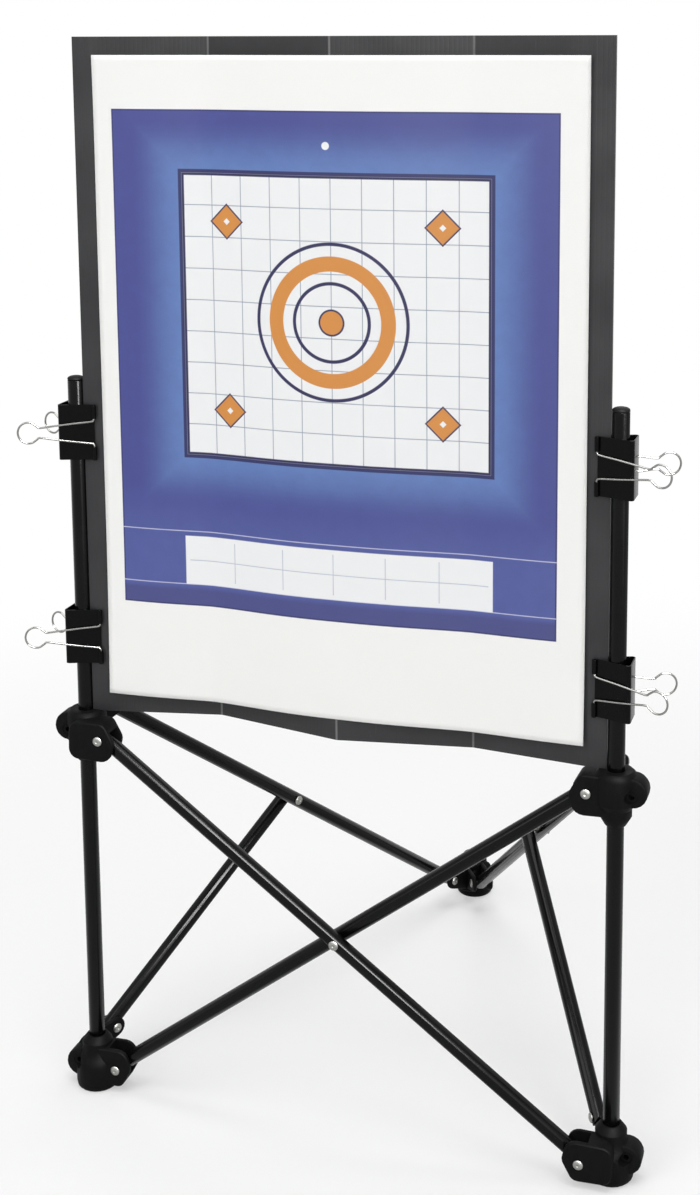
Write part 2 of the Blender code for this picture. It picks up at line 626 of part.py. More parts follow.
def rivet_shape(y_from, y_to):
    """A rivet along Y whose heads bear just outside y_from and y_to."""
    head_from = y_from - GAP
    head_to = y_to + GAP
    crown = RIVET_HEAD_HEIGHT
    profile = [(0, head_from - crown)]
    for step in (1, 2):
        angle = math.radians(45 * step)
        profile.append((RIVET_HEAD_RADIUS * math.sin(angle), head_from - crown * math.cos(angle)))
    profile += [(RIVET_RADIUS, head_from), (RIVET_RADIUS, head_to)]
    for step in (2, 1):
        angle = math.radians(45 * step)
        profile.append((RIVET_HEAD_RADIUS * math.sin(angle), head_to + crown * math.cos(angle)))
    profile.append((0, head_to + crown))
    bm = turned(profile, RIVET_STEPS)
    bmesh.ops.transform(bm, matrix=Matrix.Rotation(math.radians(-90), 4, "X"), verts=bm.verts)
    return bm


def build_rivet(name, body, pivot, direction, reach):
    """A rivet through a pivot, along a direction, whose heads bear at the two ends of its reach."""
    flat = Vector(direction).normalized()
    level = flat.cross(Vector((0, 0, 1)))
    matrix = frame_at(pivot, level, flat)
    return add_object(name, mesh_from(rivet_shape(*reach), name), body, "rivet", matrix)


def build_all_rivets():
    along_y = (0, 1, 0)
    clevis = (-CLEVIS_HALF, CLEVIS_HALF)
    for side in (LEFT, RIGHT):
        name = SIDE_NAMES[side]
        inwards = side_normal(side)
        hub_pivot = scissor_pivot(side, HUB_PIVOT_HEIGHT, BAR_Y_AT_HUB[side])
        foot_pivot = scissor_pivot(side, FOOT_PIVOT_HEIGHT, BAR_Y_AT_FOOT[side])
        hub_body = f"{name}_hub_body"
        build_rivet(f"{name}_hub_scissor_rivet", hub_body, hub_pivot, along_y, clevis)
        build_rivet(f"{name}_hub_diagonal_rivet", hub_body, hub_rear_pivot(side), inwards, rivet_reach(1))
        build_rivet(f"{name}_foot_scissor_rivet", f"{name}_post", foot_pivot, along_y, clevis)
        reach = rivet_reach(-BRACE_FACE[side])
        build_rivet(f"{name}_foot_brace_rivet", f"{name}_post", brace_foot_pivot(side), inwards, reach)
        far = -BRACE_FACE[side] * (BAR_RADIUS + BRACE_OFFSET)
        through = sorted((BRACE_FACE[side] * BAR_RADIUS, far))
        build_rivet(f"{name}_brace_rivet", f"{name}_brace_body", brace_top_pivot(side), inwards, through)
        build_rivet(f"{name}_rear_foot_rivet", "rear_foot_body", rear_foot_pivot(side), inwards, clevis)
    through = (-BAR_RADIUS, REAR_BAR_Y - FRONT_BAR_Y + BAR_RADIUS)
    build_rivet("scissor_crossing_rivet", "front_bar_body", CROSSING, along_y, through)


def board_line():
    """The board's middle line from above: its edges at the poles and its three creases."""
    width = 2 * BOARD_HALF
    panels = len(BOARD_CREASES) + 1
    line = [(-BOARD_HALF, 0.0), (BOARD_CLAMPED - BOARD_HALF, 0.0)]
    for number, depth in enumerate(BOARD_CREASES):
        line.append((-BOARD_HALF + width * (number + 1) / panels, depth))
    line += [(BOARD_HALF - BOARD_CLAMPED, 0.0), (BOARD_HALF, 0.0)]
    return line


def upright_strip(line, thickness, z_from, z_to):
    """A bmesh that stands on a line of (x, y) points, with half its thickness to each side."""
    bm = bmesh.new()
    half = thickness / 2
    front = [bm.verts.new((x, y - half, z_from)) for x, y in line]
    back = [bm.verts.new((x, y + half, z_from)) for x, y in line]
    faces = []
    for number in range(len(line) - 1):
        corners = [front[number], front[number + 1], back[number + 1], back[number]]
        faces.append(bm.faces.new(corners))
    swept = bmesh.ops.extrude_face_region(bm, geom=faces)
    moved = [item for item in swept["geom"] if isinstance(item, bmesh.types.BMVert)]
    bmesh.ops.translate(bm, verts=moved, vec=(0, 0, z_to - z_from))
    return bm


def build_board():
    shape = upright_strip(board_line(), BOARD_THICKNESS, BOARD_BOTTOM, BOARD_TOP)
    return add_object("backer_board", mesh_from(shape, "backer_board", 5), "left_clips", "board")


def board_depth(x):
    """How far back the board's middle line stands at x."""
    line = board_line()
    for (x_from, y_from), (x_to, y_to) in zip(line, line[1:]):
        if x <= x_to:
            share = (x - x_from) / (x_to - x_from)
            return y_from + share * (y_to - y_from)
    return line[-1][1]


def sheet_line(steps=24):
    """The sheet's line from above: in front of the board and touching at its middle crease."""
    proud = (BOARD_THICKNESS + SHEET_THICKNESS) / 2 + GAP
    middle = BOARD_CREASES[1] - proud
    edge = board_depth(-SHEET_WIDTH / 2) - proud - SHEET_STAND_OFF
    line = []
    for step in range(steps + 1):
        x = SHEET_WIDTH * (step / steps - 0.5)
        share = abs(2 * x / SHEET_WIDTH)
        chord = middle + (edge - middle) * share ** 2
        bow = SHEET_SAG * max(0.0, board_depth(x) - proud - chord)
        line.append((x, chord + bow * math.sin(math.pi * share) ** 2))
    return line


def build_sheet():
    top = BOARD_TOP - SHEET_TOP_MARGIN
    shape = upright_strip(sheet_line(), SHEET_THICKNESS, top - SHEET_HEIGHT, top)
    return add_object("target_sheet", mesh_from(shape, "target_sheet", 60), "left_clips", "sheet")


def clip_section():
    """Half of a clip's section: the spine's inside corner and the jaw's inside end, (x, y).

    x runs inwards from the pole's axis."""
    spine = -(POLE_RADIUS + CLIP_SPINE_CLEARANCE)
    mouth_half = BOARD_THICKNESS / 2 + GAP
    return (spine, CLIP_SPINE_HALF), (spine + CLIP_DEPTH, mouth_half)


def jaw_slope():
    (spine_x, spine_y), (mouth_x, mouth_y) = clip_section()
    return math.atan2(spine_y - mouth_y, mouth_x - spine_x)


def hinge_point():
    """The middle of the rolled lip, (x inwards from the pole's axis, y out from the board)."""
    _, (mouth_x, mouth_y) = clip_section()
    slope = jaw_slope()
    out = ROLL_BORE_RADIUS + ROLL_WALL + GAP
    return mouth_x + out * math.sin(slope), mouth_y + out * math.cos(slope)


def clip_matrix(side, height):
    """Places a clip's section, drawn in X (inwards from the pole) and Z and reaching along Y,
    with its width upright."""
    upright = Matrix(((1, 0, 0, 0), (0, 0, 1, 0), (0, 1, 0, 0), (0, 0, 0, 1)))
    return Matrix.Translation((pole_x(side), 0, height)) @ Matrix.Diagonal((-side, 1, 1, 1)) @ upright


def clip_outline():
    """The section of the spine and the two jaws, with a small radius at the outer corners."""
    (spine_x, spine_y), (mouth_x, mouth_y) = clip_section()
    slope = jaw_slope()
    back = spine_x - CLIP_SHEET
    corner_y = spine_y + CLIP_SHEET / math.cos(slope) + CLIP_SHEET * math.tan(slope)
    nip = 0.7 * CLIP_SHEET
    half = [(back, corner_y - nip), (back + 0.3 * nip, corner_y - 0.3 * nip)]
    half.append((back + nip, corner_y - nip * math.tan(slope)))
    half.append((mouth_x + CLIP_SHEET * math.sin(slope), mouth_y + CLIP_SHEET * math.cos(slope)))
    half += [(mouth_x, mouth_y), (spine_x, spine_y)]
    return half + [(x, -y) for x, y in reversed(half)]


def build_clip_body(side, label, height):
    """The spring-steel body: a flat spine and two jaws with rolled lips at both ends of each."""
    name = f"{SIDE_NAMES[side]}_{label}_clip"
    place = clip_matrix(side, height)
    bm = plate(clip_outline(), -CLIP_WIDTH / 2, CLIP_WIDTH / 2)
    bmesh.ops.transform(bm, matrix=place, verts=bm.verts)
    body = add_object(name, mesh_from(bm, name), f"{SIDE_NAMES[side]}_clips", "clip")
    hinge_x, hinge_y = hinge_point()
    outer = ROLL_BORE_RADIUS + ROLL_WALL
    spare = 2 * CLIP_SHEET
    for y_sign in (-1, 1):
        for z_sign in (-1, 1):
            z_far = z_sign * CLIP_WIDTH / 2
            low, high = sorted((z_far - z_sign * ROLL_LENGTH, z_far))
            roll = pin_along_y(hinge_x, y_sign * hinge_y, outer, low, high)
            bmesh.ops.transform(roll, matrix=place, verts=roll.verts)
            combine(body, "UNION", f"{name}_roll_{y_sign}_{z_sign}", roll)
            bore = pin_along_y(hinge_x, y_sign * hinge_y, ROLL_BORE_RADIUS, low - spare, high + spare)
            bmesh.ops.transform(bore, matrix=place, verts=bore.verts)
            combine(body, "DIFFERENCE", f"{name}_roll_bore_{y_sign}_{z_sign}", bore)
    smooth_cuts(body)
    return body


def handle_path():
    """A clip handle's wire, (u along the handle, w across it), from one hinged end to the other."""
    inner = HANDLE_HALF_WIDTHS[0]
    mouth = CLIP_WIDTH / 2 - ROLL_LENGTH
    half = [(0.0, CLIP_WIDTH / 2 - HANDLE_END_GAP), (0.0, mouth)]
    half += [(0.2 * HANDLE_BEND, inner + 0.4 * HANDLE_BEND), (HANDLE_BEND, 0.97 * inner)]
    count = len(HANDLE_HALF_WIDTHS)
    for number in range(1, count):
        half.append((HANDLE_LENGTH * (number / count) ** 0.9, HANDLE_HALF_WIDTHS[number]))
    tip = [(HANDLE_LENGTH - WIRE_RADIUS, 0.0)]
    return half + tip + [(u, -w) for u, w in reversed(half)]


def smooth_points(knots, steps):
    """A Catmull-Rom curve through the knots, with steps points for each stretch."""
    padded = [knots[0]] + list(knots) + [knots[-1]]
    points = []
    for index in range(1, len(padded) - 2):
        before, start, end, after = (Vector(padded[index + step]) for step in (-1, 0, 1, 2))
        for step in range(steps):
            t = step / steps
            bend = 2 * before - 5 * start + 4 * end - after
            twist = 3 * start - before - 3 * end + after
            points.append(start + 0.5 * ((end - before) * t + bend * t ** 2 + twist * t ** 3))
    points.append(Vector(knots[-1]))
    return points


def build_handle(side, label, height, face):
    """A wire handle, laid back along its jaw so that it points away from the board."""
    name = f"{SIDE_NAMES[side]}_{label}_clip_{face}_handle"
    y_sign = -1 if face == "front" else 1
    hinge_x, hinge_y = hinge_point()
    origin = Vector((pole_x(side) - side * hinge_x, y_sign * hinge_y, height))
    slope = jaw_slope()
    outward = Vector((side * math.cos(slope), y_sign * math.sin(slope), 0))
    curve = bpy.data.curves.new(name, "CURVE")
    curve.dimensions = "3D"
    curve.bevel_depth = WIRE_RADIUS
    curve.bevel_resolution = 1
    curve.use_fill_caps = True
    points = smooth_points(handle_path(), 2)
    spline = curve.splines.new("POLY")
    spline.points.add(len(points) - 1)
    for point, (u, w) in zip(spline.points, points):
        point.co = (*(outward * u + Vector((0, 0, w))), 1.0)
    spline.use_smooth = True
    return add_object(name, curve, add_body(f"{name}_hinge", origin), "wire", Matrix.Translation(origin))


def build_clips():
    for side in (LEFT, RIGHT):
        for label, height in zip(("upper", "lower"), CLIP_CENTRES):
            build_clip_body(side, label, height)
            for face in ("front", "rear"):
                build_handle(side, label, height, face)


def add_bodies():
    """One empty for each body that moves as a whole, on its joint's axis."""
    add_body("rear_bar_body", scissor_pivot(LEFT, FOOT_PIVOT_HEIGHT, REAR_BAR_Y))
    add_body("front_bar_body", CROSSING)
    add_body("rear_foot_body", rear_foot_pivot(LEFT))
    for side in (LEFT, RIGHT):
        name = SIDE_NAMES[side]
        add_body(f"{name}_post", scissor_pivot(side, FOOT_PIVOT_HEIGHT, BAR_Y_AT_FOOT[side]))
        add_body(f"{name}_hub_body", scissor_pivot(side, HUB_PIVOT_HEIGHT, BAR_Y_AT_HUB[side]))
        add_body(f"{name}_diagonal_body", hub_rear_pivot(side))
        add_body(f"{name}_brace_body", brace_foot_pivot(side))
        add_body(f"{name}_clips", (pole_x(side), 0, CLIP_CENTRES[1]))


clear_scene()
add_bodies()
for which in (LEFT, RIGHT):
    build_pole(which)
    build_pole_cap(which)
    build_foot(which)
    build_hub(which)
    build_side_bars(which)
build_rear_foot()
build_scissor()
build_all_rivets()
build_board()
build_sheet()
build_clips()
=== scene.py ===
import json
import math
import bmesh
import bpy
from mathutils import Matrix, Vector, noise

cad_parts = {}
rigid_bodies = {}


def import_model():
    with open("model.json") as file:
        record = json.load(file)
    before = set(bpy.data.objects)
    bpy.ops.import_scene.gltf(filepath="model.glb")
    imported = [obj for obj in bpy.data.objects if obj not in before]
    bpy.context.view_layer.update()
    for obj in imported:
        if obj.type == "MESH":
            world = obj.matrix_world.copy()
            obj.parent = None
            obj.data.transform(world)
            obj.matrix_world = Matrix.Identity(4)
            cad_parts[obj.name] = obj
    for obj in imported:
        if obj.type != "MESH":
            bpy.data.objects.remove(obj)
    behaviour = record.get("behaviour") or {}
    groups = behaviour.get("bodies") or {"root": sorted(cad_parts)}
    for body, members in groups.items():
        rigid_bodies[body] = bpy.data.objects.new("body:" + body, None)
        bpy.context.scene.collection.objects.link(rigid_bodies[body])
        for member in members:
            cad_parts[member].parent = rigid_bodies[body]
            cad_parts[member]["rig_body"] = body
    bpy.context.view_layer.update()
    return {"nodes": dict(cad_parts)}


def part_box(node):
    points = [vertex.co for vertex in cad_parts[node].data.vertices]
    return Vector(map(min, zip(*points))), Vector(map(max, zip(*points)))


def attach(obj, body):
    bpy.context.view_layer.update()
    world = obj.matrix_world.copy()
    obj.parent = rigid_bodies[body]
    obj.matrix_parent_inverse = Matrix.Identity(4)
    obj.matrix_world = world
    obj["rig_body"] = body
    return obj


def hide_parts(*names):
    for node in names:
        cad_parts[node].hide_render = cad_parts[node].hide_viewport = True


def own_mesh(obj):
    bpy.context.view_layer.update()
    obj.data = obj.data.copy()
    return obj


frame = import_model()
nodes = frame["nodes"]
print("frame loaded:", len(nodes), "solids")


# sRGB hex to the linear colour that the shaders want
def linear(hexColour):
    parts = [int(hexColour[start:start + 2], 16) / 255 for start in (1, 3, 5)]
    return tuple(c / 12.92 if c <= 0.04045 else ((c + 0.055) / 1.055) ** 2.4 for c in parts) + (1.0,)


# a texture's scale for a feature of this many millimetres
def perFeature(millimetres):
    return 1000 / millimetres


# one node: a text key that is a property sets it, any other key names or numbers an input, and a link
# from a node means its first output; a map range's 1 and 2 are the range it reads, 3 and 4 what it gives
def addNode(tree, kind, settings=None, links=None):
    node = tree.nodes.new(kind)
    for key, value in (settings or {}).items():
        if isinstance(key, str) and key in node.bl_rna.properties:
            setattr(node, key, value)
        else:
            node.inputs[key].default_value = value
    for key, source in (links or {}).items():
        socket = source.outputs[0] if isinstance(source, bpy.types.Node) else source
        tree.links.new(socket, node.inputs[key])
    return node


# the emptied node tree of a material or world
def emptyTree(owner):
    owner.use_nodes = True
    owner.node_tree.nodes.clear()
    return owner.node_tree


# a material whose pattern function gives the sockets that vary over the surface
def makeMaterial(name, shaderSettings, pattern):
    material = bpy.data.materials.new(name)
    tree = emptyTree(material)
    shader = addNode(tree, "ShaderNodeBsdfPrincipled", shaderSettings, pattern(tree))
    addNode(tree, "ShaderNodeOutputMaterial", {}, {"Surface": shader})
    return material


# a point's place on its own object
def objectPlace(tree):
    return addNode(tree, "ShaderNodeTexCoord").outputs["Object"]


# the sockets that vary: a colour between two, a roughness over a map range, and a relief of some strength
# and metres, each following a pattern of its own
def varied(tree, colours, shade, roughness, dull, relief=None, height=None):
    first, second = (linear(colour) for colour in colours)
    colour = addNode(tree, "ShaderNodeMix", {"data_type": "RGBA", 6: first, 7: second}, {0: shade})
    rough = addNode(tree, "ShaderNodeMapRange", dict(enumerate(roughness, 1)), {0: dull})
    sockets = {"Base Color": colour.outputs[2], "Roughness": rough}
    if relief:
        strength, metres = relief
        settings = {"Strength": strength, "Distance": metres}
        sockets["Normal"] = addNode(tree, "ShaderNodeBump", settings, {"Height": height})
    return sockets


# a colour laid over what is below it, where all its masks meet
def layOver(tree, below, colour, mask, *moreMasks):
    for more in moreMasks:
        mask = addNode(tree, "ShaderNodeMath", {"operation": "MULTIPLY"}, {0: mask, 1: more})
    mix = addNode(tree, "ShaderNodeMix", {"data_type": "RGBA", 7: linear(colour)}, {0: mask, 6: below})
    return mix.outputs[2]


# gloss powder coat on steel tube: a fine orange peel in the highlight, a little duller where it is handled
def powderCoatPattern(tree):
    place = objectPlace(tree)
    peel = addNode(tree, "ShaderNodeTexNoise", {"Scale": perFeature(1.5), "Detail": 2.0}, {"Vector": place})
    handled = addNode(
        tree, "ShaderNodeTexNoise", {"Scale": perFeature(38), "Detail": 5.0, "Roughness": 0.62},
        {"Vector": place},
    )
    return varied(
        tree, ("#050506", "#0f0f10"), handled, (0.3, 0.7, 0.15, 0.25), handled, (0.12, 0.0002), peel
    )


# glass-filled nylon, moulded against a spark-eroded tool: a fine matt grain and faint grey flow streaks
def nylonPattern(tree):
    place = objectPlace(tree)
    grain = addNode(
        tree, "ShaderNodeTexNoise", {"Scale": perFeature(0.8), "Detail": 3.0, "Roughness": 0.7},
        {"Vector": place},
    )
    stretched = addNode(tree, "ShaderNodeMapping", {"Scale": (1.0, 1.0, 0.35)}, {"Vector": place})
    flow = addNode(
        tree, "ShaderNodeTexNoise", {"Scale": perFeature(9), "Detail": 4.0, "Distortion": 0.8},
        {"Vector": stretched},
    )
    return varied(tree, ("#0b0b0c", "#171718"), flow, (0.25, 0.75, 0.46, 0.62), grain, (0.22, 0.0002), grain)


# soft dipped vinyl: satin, with slow unevenness
def vinylPattern(tree):
    place = objectPlace(tree)
    skin = addNode(tree, "ShaderNodeTexNoise", {"Scale": perFeature(3.5), "Detail": 3.0}, {"Vector": place})
    return varied(tree, ("#0a0a0b", "#141415"), skin, (0.3, 0.7, 0.5, 0.64), skin, (0.15, 0.0003), skin)


# zinc-plated steel, headed cold: grey-white metal, cloudy, with small flats from the riveting tool
def zincPattern(tree):
    place = objectPlace(tree)
    cloud = addNode(
        tree, "ShaderNodeTexNoise", {"Scale": perFeature(2.2), "Detail": 5.0, "Roughness": 0.6},
        {"Vector": place},
    )
    flats = addNode(tree, "ShaderNodeTexVoronoi", {"Scale": perFeature(1.4)}, {"Vector": place})
    return varied(tree, ("#7a7a75", "#a4a4a1"), cloud, (0.3, 0.7, 0.30, 0.46), cloud, (0.18, 0.0002), flats)


# black enamel baked on spring steel: high gloss, with a slight flow in it
def enamelPattern(tree):
    place = objectPlace(tree)
    flow = addNode(tree, "ShaderNodeTexNoise", {"Scale": perFeature(6), "Detail": 3.0}, {"Vector": place})
    specks = addNode(tree, "ShaderNodeTexNoise", {"Scale": perFeature(0.9), "Detail": 2.0}, {"Vector": place})
    return varied(tree, ("#050506", "#0c0c0d"), flow, (0.35, 0.75, 0.16, 0.30), specks, (0.10, 0.0004), flow)


# bright nickel on drawn wire: mirror-like, with fine draw lines along it
def nickelPattern(tree):
    place = objectPlace(tree)
    draw = addNode(tree, "ShaderNodeTexNoise", {"Scale": perFeature(0.7), "Detail": 3.0}, {"Vector": place})
    cloud = addNode(tree, "ShaderNodeTexNoise", {"Scale": perFeature(7), "Detail": 3.0}, {"Vector": place})
    return varied(tree, ("#767673", "#989895"), cloud, (0.3, 0.7, 0.14, 0.26), draw)


tubeCoat = makeMaterial("glossPowderCoat", {"Specular IOR Level": 0.12}, powderCoatPattern)
fittingNylon = makeMaterial("glassFilledNylon", {"Specular IOR Level": 0.04}, nylonPattern)
capVinyl = makeMaterial("softVinyl", {"Specular IOR Level": 0.10}, vinylPattern)
rivetZinc = makeMaterial("zincPlatedSteel", {"Metallic": 1.0}, zincPattern)
clipEnamel = makeMaterial("bakedBlackEnamel", {"Specular IOR Level": 0.08}, enamelPattern)
wireNickel = makeMaterial("brightNickelWire", {"Metallic": 1.0}, nickelPattern)
print("plain materials made")


# one plain mesh from whatever the object's modifiers make
def bake(piece):
    bpy.context.view_layer.update()
    depsgraph = bpy.context.evaluated_depsgraph_get()
    mesh = bpy.data.meshes.new_from_object(
        piece.evaluated_get(depsgraph), preserve_all_data_layers=True, depsgraph=depsgraph
    )
    piece.modifiers.clear()
    piece.data = mesh
    return piece


# an object in the scene, with one material where it has no tree to bring it
def newPiece(name, mesh, material=None):
    piece = bpy.data.objects.new(name, mesh)
    bpy.context.scene.collection.objects.link(piece)
    if material:
        mesh.materials.clear()
        mesh.materials.append(material)
    return piece


# the mesh of a finished bmesh, smooth but for its sharp edges
def meshFrom(bm, name, sharpAngle=None):
    mesh = bpy.data.meshes.new(name)
    bm.to_mesh(mesh)
    bm.free()
    mesh.shade_smooth()
    if sharpAngle:
        mesh.set_sharp_from_angle(angle=math.radians(sharpAngle))
    return mesh


# takes the edge off the corners that are sharper than an angle, in degrees
def easeEdges(piece, width, sharpAngle):
    ease = piece.modifiers.new("ease", "BEVEL")
    ease.width = width
    ease.segments = 2
    ease.limit_method = "ANGLE"
    ease.angle_limit = math.radians(sharpAngle)
    ease.harden_normals = True
    return bake(piece)


# joins two rings of as many points with a band of faces
def bridgeRings(bm, lower, upper):
    for step in range(len(lower)):
        after = (step + 1) % len(lower)
        bm.faces.new((lower[step], lower[after], upper[after], upper[step]))


# hands the geometry-nodes tree its named sizes
def growWith(piece, tree, sizes):
    modifier = piece.modifiers.new(tree.name, "NODES")
    modifier.node_group = tree
    for item in tree.interface.items_tree:
        if item.item_type == "SOCKET" and item.in_out == "INPUT" and item.name in sizes:
            modifier[item.identifier] = sizes[item.name]
    return bake(piece)


# a geometry-nodes tree with a named input for each size, and one for its material
def newTree(name, sizeNames):
    tree = bpy.data.node_groups.new(name, "GeometryNodeTree")
    tree.interface.new_socket("Geometry", in_out="INPUT", socket_type="NodeSocketGeometry")
    for label in sizeNames:
        tree.interface.new_socket(label, in_out="INPUT", socket_type="NodeSocketFloat")
    tree.interface.new_socket("Material", in_out="INPUT", socket_type="NodeSocketMaterial")
    tree.interface.new_socket("Geometry", in_out="OUTPUT", socket_type="NodeSocketGeometry")
    return tree, addNode(tree, "NodeGroupInput").outputs


# puts a finished piece on the body of the solid that it stands for
def standFor(piece, nodeName):
    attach(piece, nodes[nodeName]["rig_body"])
    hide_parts(nodeName)
    return piece


# the tubes, the mouldings and the caps, in groups: material, easing in metres and solids
dressed = {
    "pole_tube": (tubeCoat, 0.00025, ("left_pole", "right_pole")),
    "bar_tube": (
        tubeCoat, 0.00025,
        (
            "scissor_bar_front", "scissor_bar_rear", "left_rear_diagonal", "right_rear_diagonal",
            "left_brace", "right_brace",
        ),
    ),
    "pole_cap": (capVinyl, 0.0006, ("left_pole_cap", "right_pole_cap")),
    "fitting": (fittingNylon, 0.0005, ("left_foot", "right_foot", "rear_foot", "left_hub", "right_hub")),
}
merging = {"distance": 2e-5, "flat angle": 0.8, "sharp angle": 35}  # metres, and degrees


# a merged copy of a solid, with its hard edges eased and its round faces smooth
def easedCopy(nodeName, material, edge):
    bm = bmesh.new()
    bm.from_mesh(nodes[nodeName].data)
    bmesh.ops.remove_doubles(bm, verts=bm.verts, dist=merging["distance"])
    flat = math.radians(merging["flat angle"])
    bmesh.ops.dissolve_limit(bm, angle_limit=flat, verts=bm.verts, edges=bm.edges)
    piece = newPiece("eased_" + nodeName, meshFrom(bm, "eased_" + nodeName), material)
    return easeEdges(piece, edge, merging["sharp angle"])


for slotName, (material, edge, nodeNames) in dressed.items():
    for nodeName in nodeNames:
        standFor(easedCopy(nodeName, material, edge), nodeName)
print("tubes, mouldings and caps eased")


# rivets: a domed head on each end of every axis, and a shank between them
rivet = {
    "head radius": 0.0046,
    "crown": 0.0019,
    "shank radius": 0.0025,
    "dimple radius": 0.0015,
    "dimple floor": 0.0005,  # radius of the dimple's flat bottom
    "dimple left": 0.55,  # share of the crown's height that is left there
    "head steps": 28,
    "shank steps": 24,
    "side angle": 30,  # degrees between each side's plane and straight back
}


# on each point a head, domed outwards with a dimple in its middle, and along each edge a shank
def rivetTree():
    tree, given = newTree("rivets", ("head radius", "crown", "shank radius", "dimple radius"))
    steps = rivet["head steps"]
    ball = addNode(
        tree, "GeometryNodeMeshUVSphere", {"Segments": steps, "Rings": steps},
        {"Radius": given["head radius"]},
    )
    place = addNode(tree, "ShaderNodeSeparateXYZ", {}, {0: addNode(tree, "GeometryNodeInputPosition")})
    squash = addNode(
        tree, "ShaderNodeMath", {"operation": "DIVIDE"}, {0: given["crown"], 1: given["head radius"]}
    )
    upper = addNode(tree, "ShaderNodeMath", {"operation": "MAXIMUM", 1: 0.0}, {0: place.outputs["Z"]})
    height = addNode(tree, "ShaderNodeMath", {"operation": "MULTIPLY"}, {0: upper, 1: squash})
    level = addNode(tree, "ShaderNodeCombineXYZ", {}, {0: place.outputs["X"], 1: place.outputs["Y"]})
    away = addNode(tree, "ShaderNodeVectorMath", {"operation": "LENGTH"}, {0: level})
    dimple = addNode(
        tree, "ShaderNodeMapRange",
        {"interpolation_type": "SMOOTHSTEP", 1: rivet["dimple floor"], 3: rivet["dimple left"], 4: 1.0},
        {0: away.outputs["Value"], 2: given["dimple radius"]},
    )
    sunk = addNode(tree, "ShaderNodeMath", {"operation": "MULTIPLY"}, {0: height, 1: dimple})
    domed = addNode(
        tree, "ShaderNodeCombineXYZ", {}, {0: place.outputs["X"], 1: place.outputs["Y"], 2: sunk}
    )
    head = addNode(
        tree, "GeometryNodeSetPosition", {}, {"Geometry": ball.outputs["Mesh"], "Position": domed}
    )
    outward = addNode(
        tree, "GeometryNodeInputNamedAttribute", {"data_type": "FLOAT_VECTOR", "Name": "outward"}
    )
    turn = addNode(tree, "FunctionNodeAlignRotationToVector", {"axis": "Z"}, {"Vector": outward})
    heads = addNode(
        tree, "GeometryNodeInstanceOnPoints", {},
        {"Points": given["Geometry"], "Instance": head, "Rotation": turn},
    )
    axes = addNode(tree, "GeometryNodeMeshToCurve", {}, {"Mesh": given["Geometry"]})
    ring = addNode(
        tree, "GeometryNodeCurvePrimitiveCircle", {"Resolution": rivet["shank steps"]},
        {"Radius": given["shank radius"]},
    )
    shanks = addNode(
        tree, "GeometryNodeCurveToMesh", {"Fill Caps": True}, {"Curve": axes, "Profile Curve": ring}
    )
    joined = addNode(tree, "GeometryNodeJoinGeometry", {}, {0: heads})
    tree.links.new(shanks.outputs[0], joined.inputs[0])
    real = addNode(tree, "GeometryNodeRealizeInstances", {}, {0: joined})
    smooth = addNode(tree, "GeometryNodeSetShadeSmooth", {}, {0: real})
    skin = addNode(tree, "GeometryNodeSetMaterial", {}, {"Geometry": smooth, "Material": given["Material"]})
    addNode(tree, "NodeGroupOutput", {}, {0: skin})
    return tree


# the two ends of a rivet's shank, where its heads begin, read off the solid along its axis
def rivetEnds(nodeName, direction):
    low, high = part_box(nodeName)
    middle = (low + high) / 2
    reach = [(Vector(corner.co) - middle).dot(direction) for corner in nodes[nodeName].data.vertices]
    start, end = min(reach) + rivet["crown"], max(reach) - rivet["crown"]
    return middle + direction * start, middle + direction * end


# the way a rivet points: the scissor's run front to back, the sides' square to their own planes
def rivetDirection(nodeName):
    if "scissor" in nodeName:
        return Vector((0, 1, 0))
    side = -1 if nodeName.startswith("left") else 1
    angle = math.radians(rivet["side angle"])
    return Vector((-side * math.cos(angle), -math.sin(angle), 0))


rivetNodes = sorted(name for name in nodes if name.endswith("rivet"))
rivetBodies = sorted({nodes[name]["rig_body"] for name in rivetNodes})
rivetMaker = rivetTree()
for body in rivetBodies:
    mine = [name for name in rivetNodes if nodes[name]["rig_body"] == body]
    points, lines, outwards = [], [], []
    for name in mine:
        direction = rivetDirection(name)
        low, high = rivetEnds(name, direction)
        lines.append((len(points), len(points) + 1))
        points += [low, high]
        outwards += [-direction, direction]
    mesh = bpy.data.meshes.new("rivets_" + body)
    mesh.from_pydata(points, lines, [])
    stored = mesh.attributes.new("outward", "FLOAT_VECTOR", "POINT")
    for item, value in zip(stored.data, outwards):
        item.vector = value
    piece = newPiece("rivets_" + body, mesh)
    growWith(piece, rivetMaker, {**rivet, "Material": rivetZinc})
    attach(piece, body)
    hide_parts(*mine)


# clip bodies: spring steel bent round into a flat spine and two jaws, with rolled lips for the wires
clip = {
    "sheet": 0.0010,
    "width": 0.051,
    "spine": -0.0125,  # the spine's inner face, inwards from the pole's axis
    "spine half": 0.0123,
    "mouth": (0.0185, 0.0023),  # the inner face of a jaw's end
    "corner": 0.0024,
    "bow": 0.0005,  # how far each jaw is hollowed between spine and mouth
    "roll bore": 0.0013,
    "roll wall": 0.0007,
    "roll length": 0.0125,
    "roll gap": 0.0003,
    "roll steps": 20,
    "jaw steps": 8,
    "corner steps": 8,
    "easing": 0.0002,
}
leftPoleLow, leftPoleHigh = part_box("left_pole")
poleY = (leftPoleLow.y + leftPoleHigh.y) / 2
poleX = -(leftPoleLow.x + leftPoleHigh.x) / 2


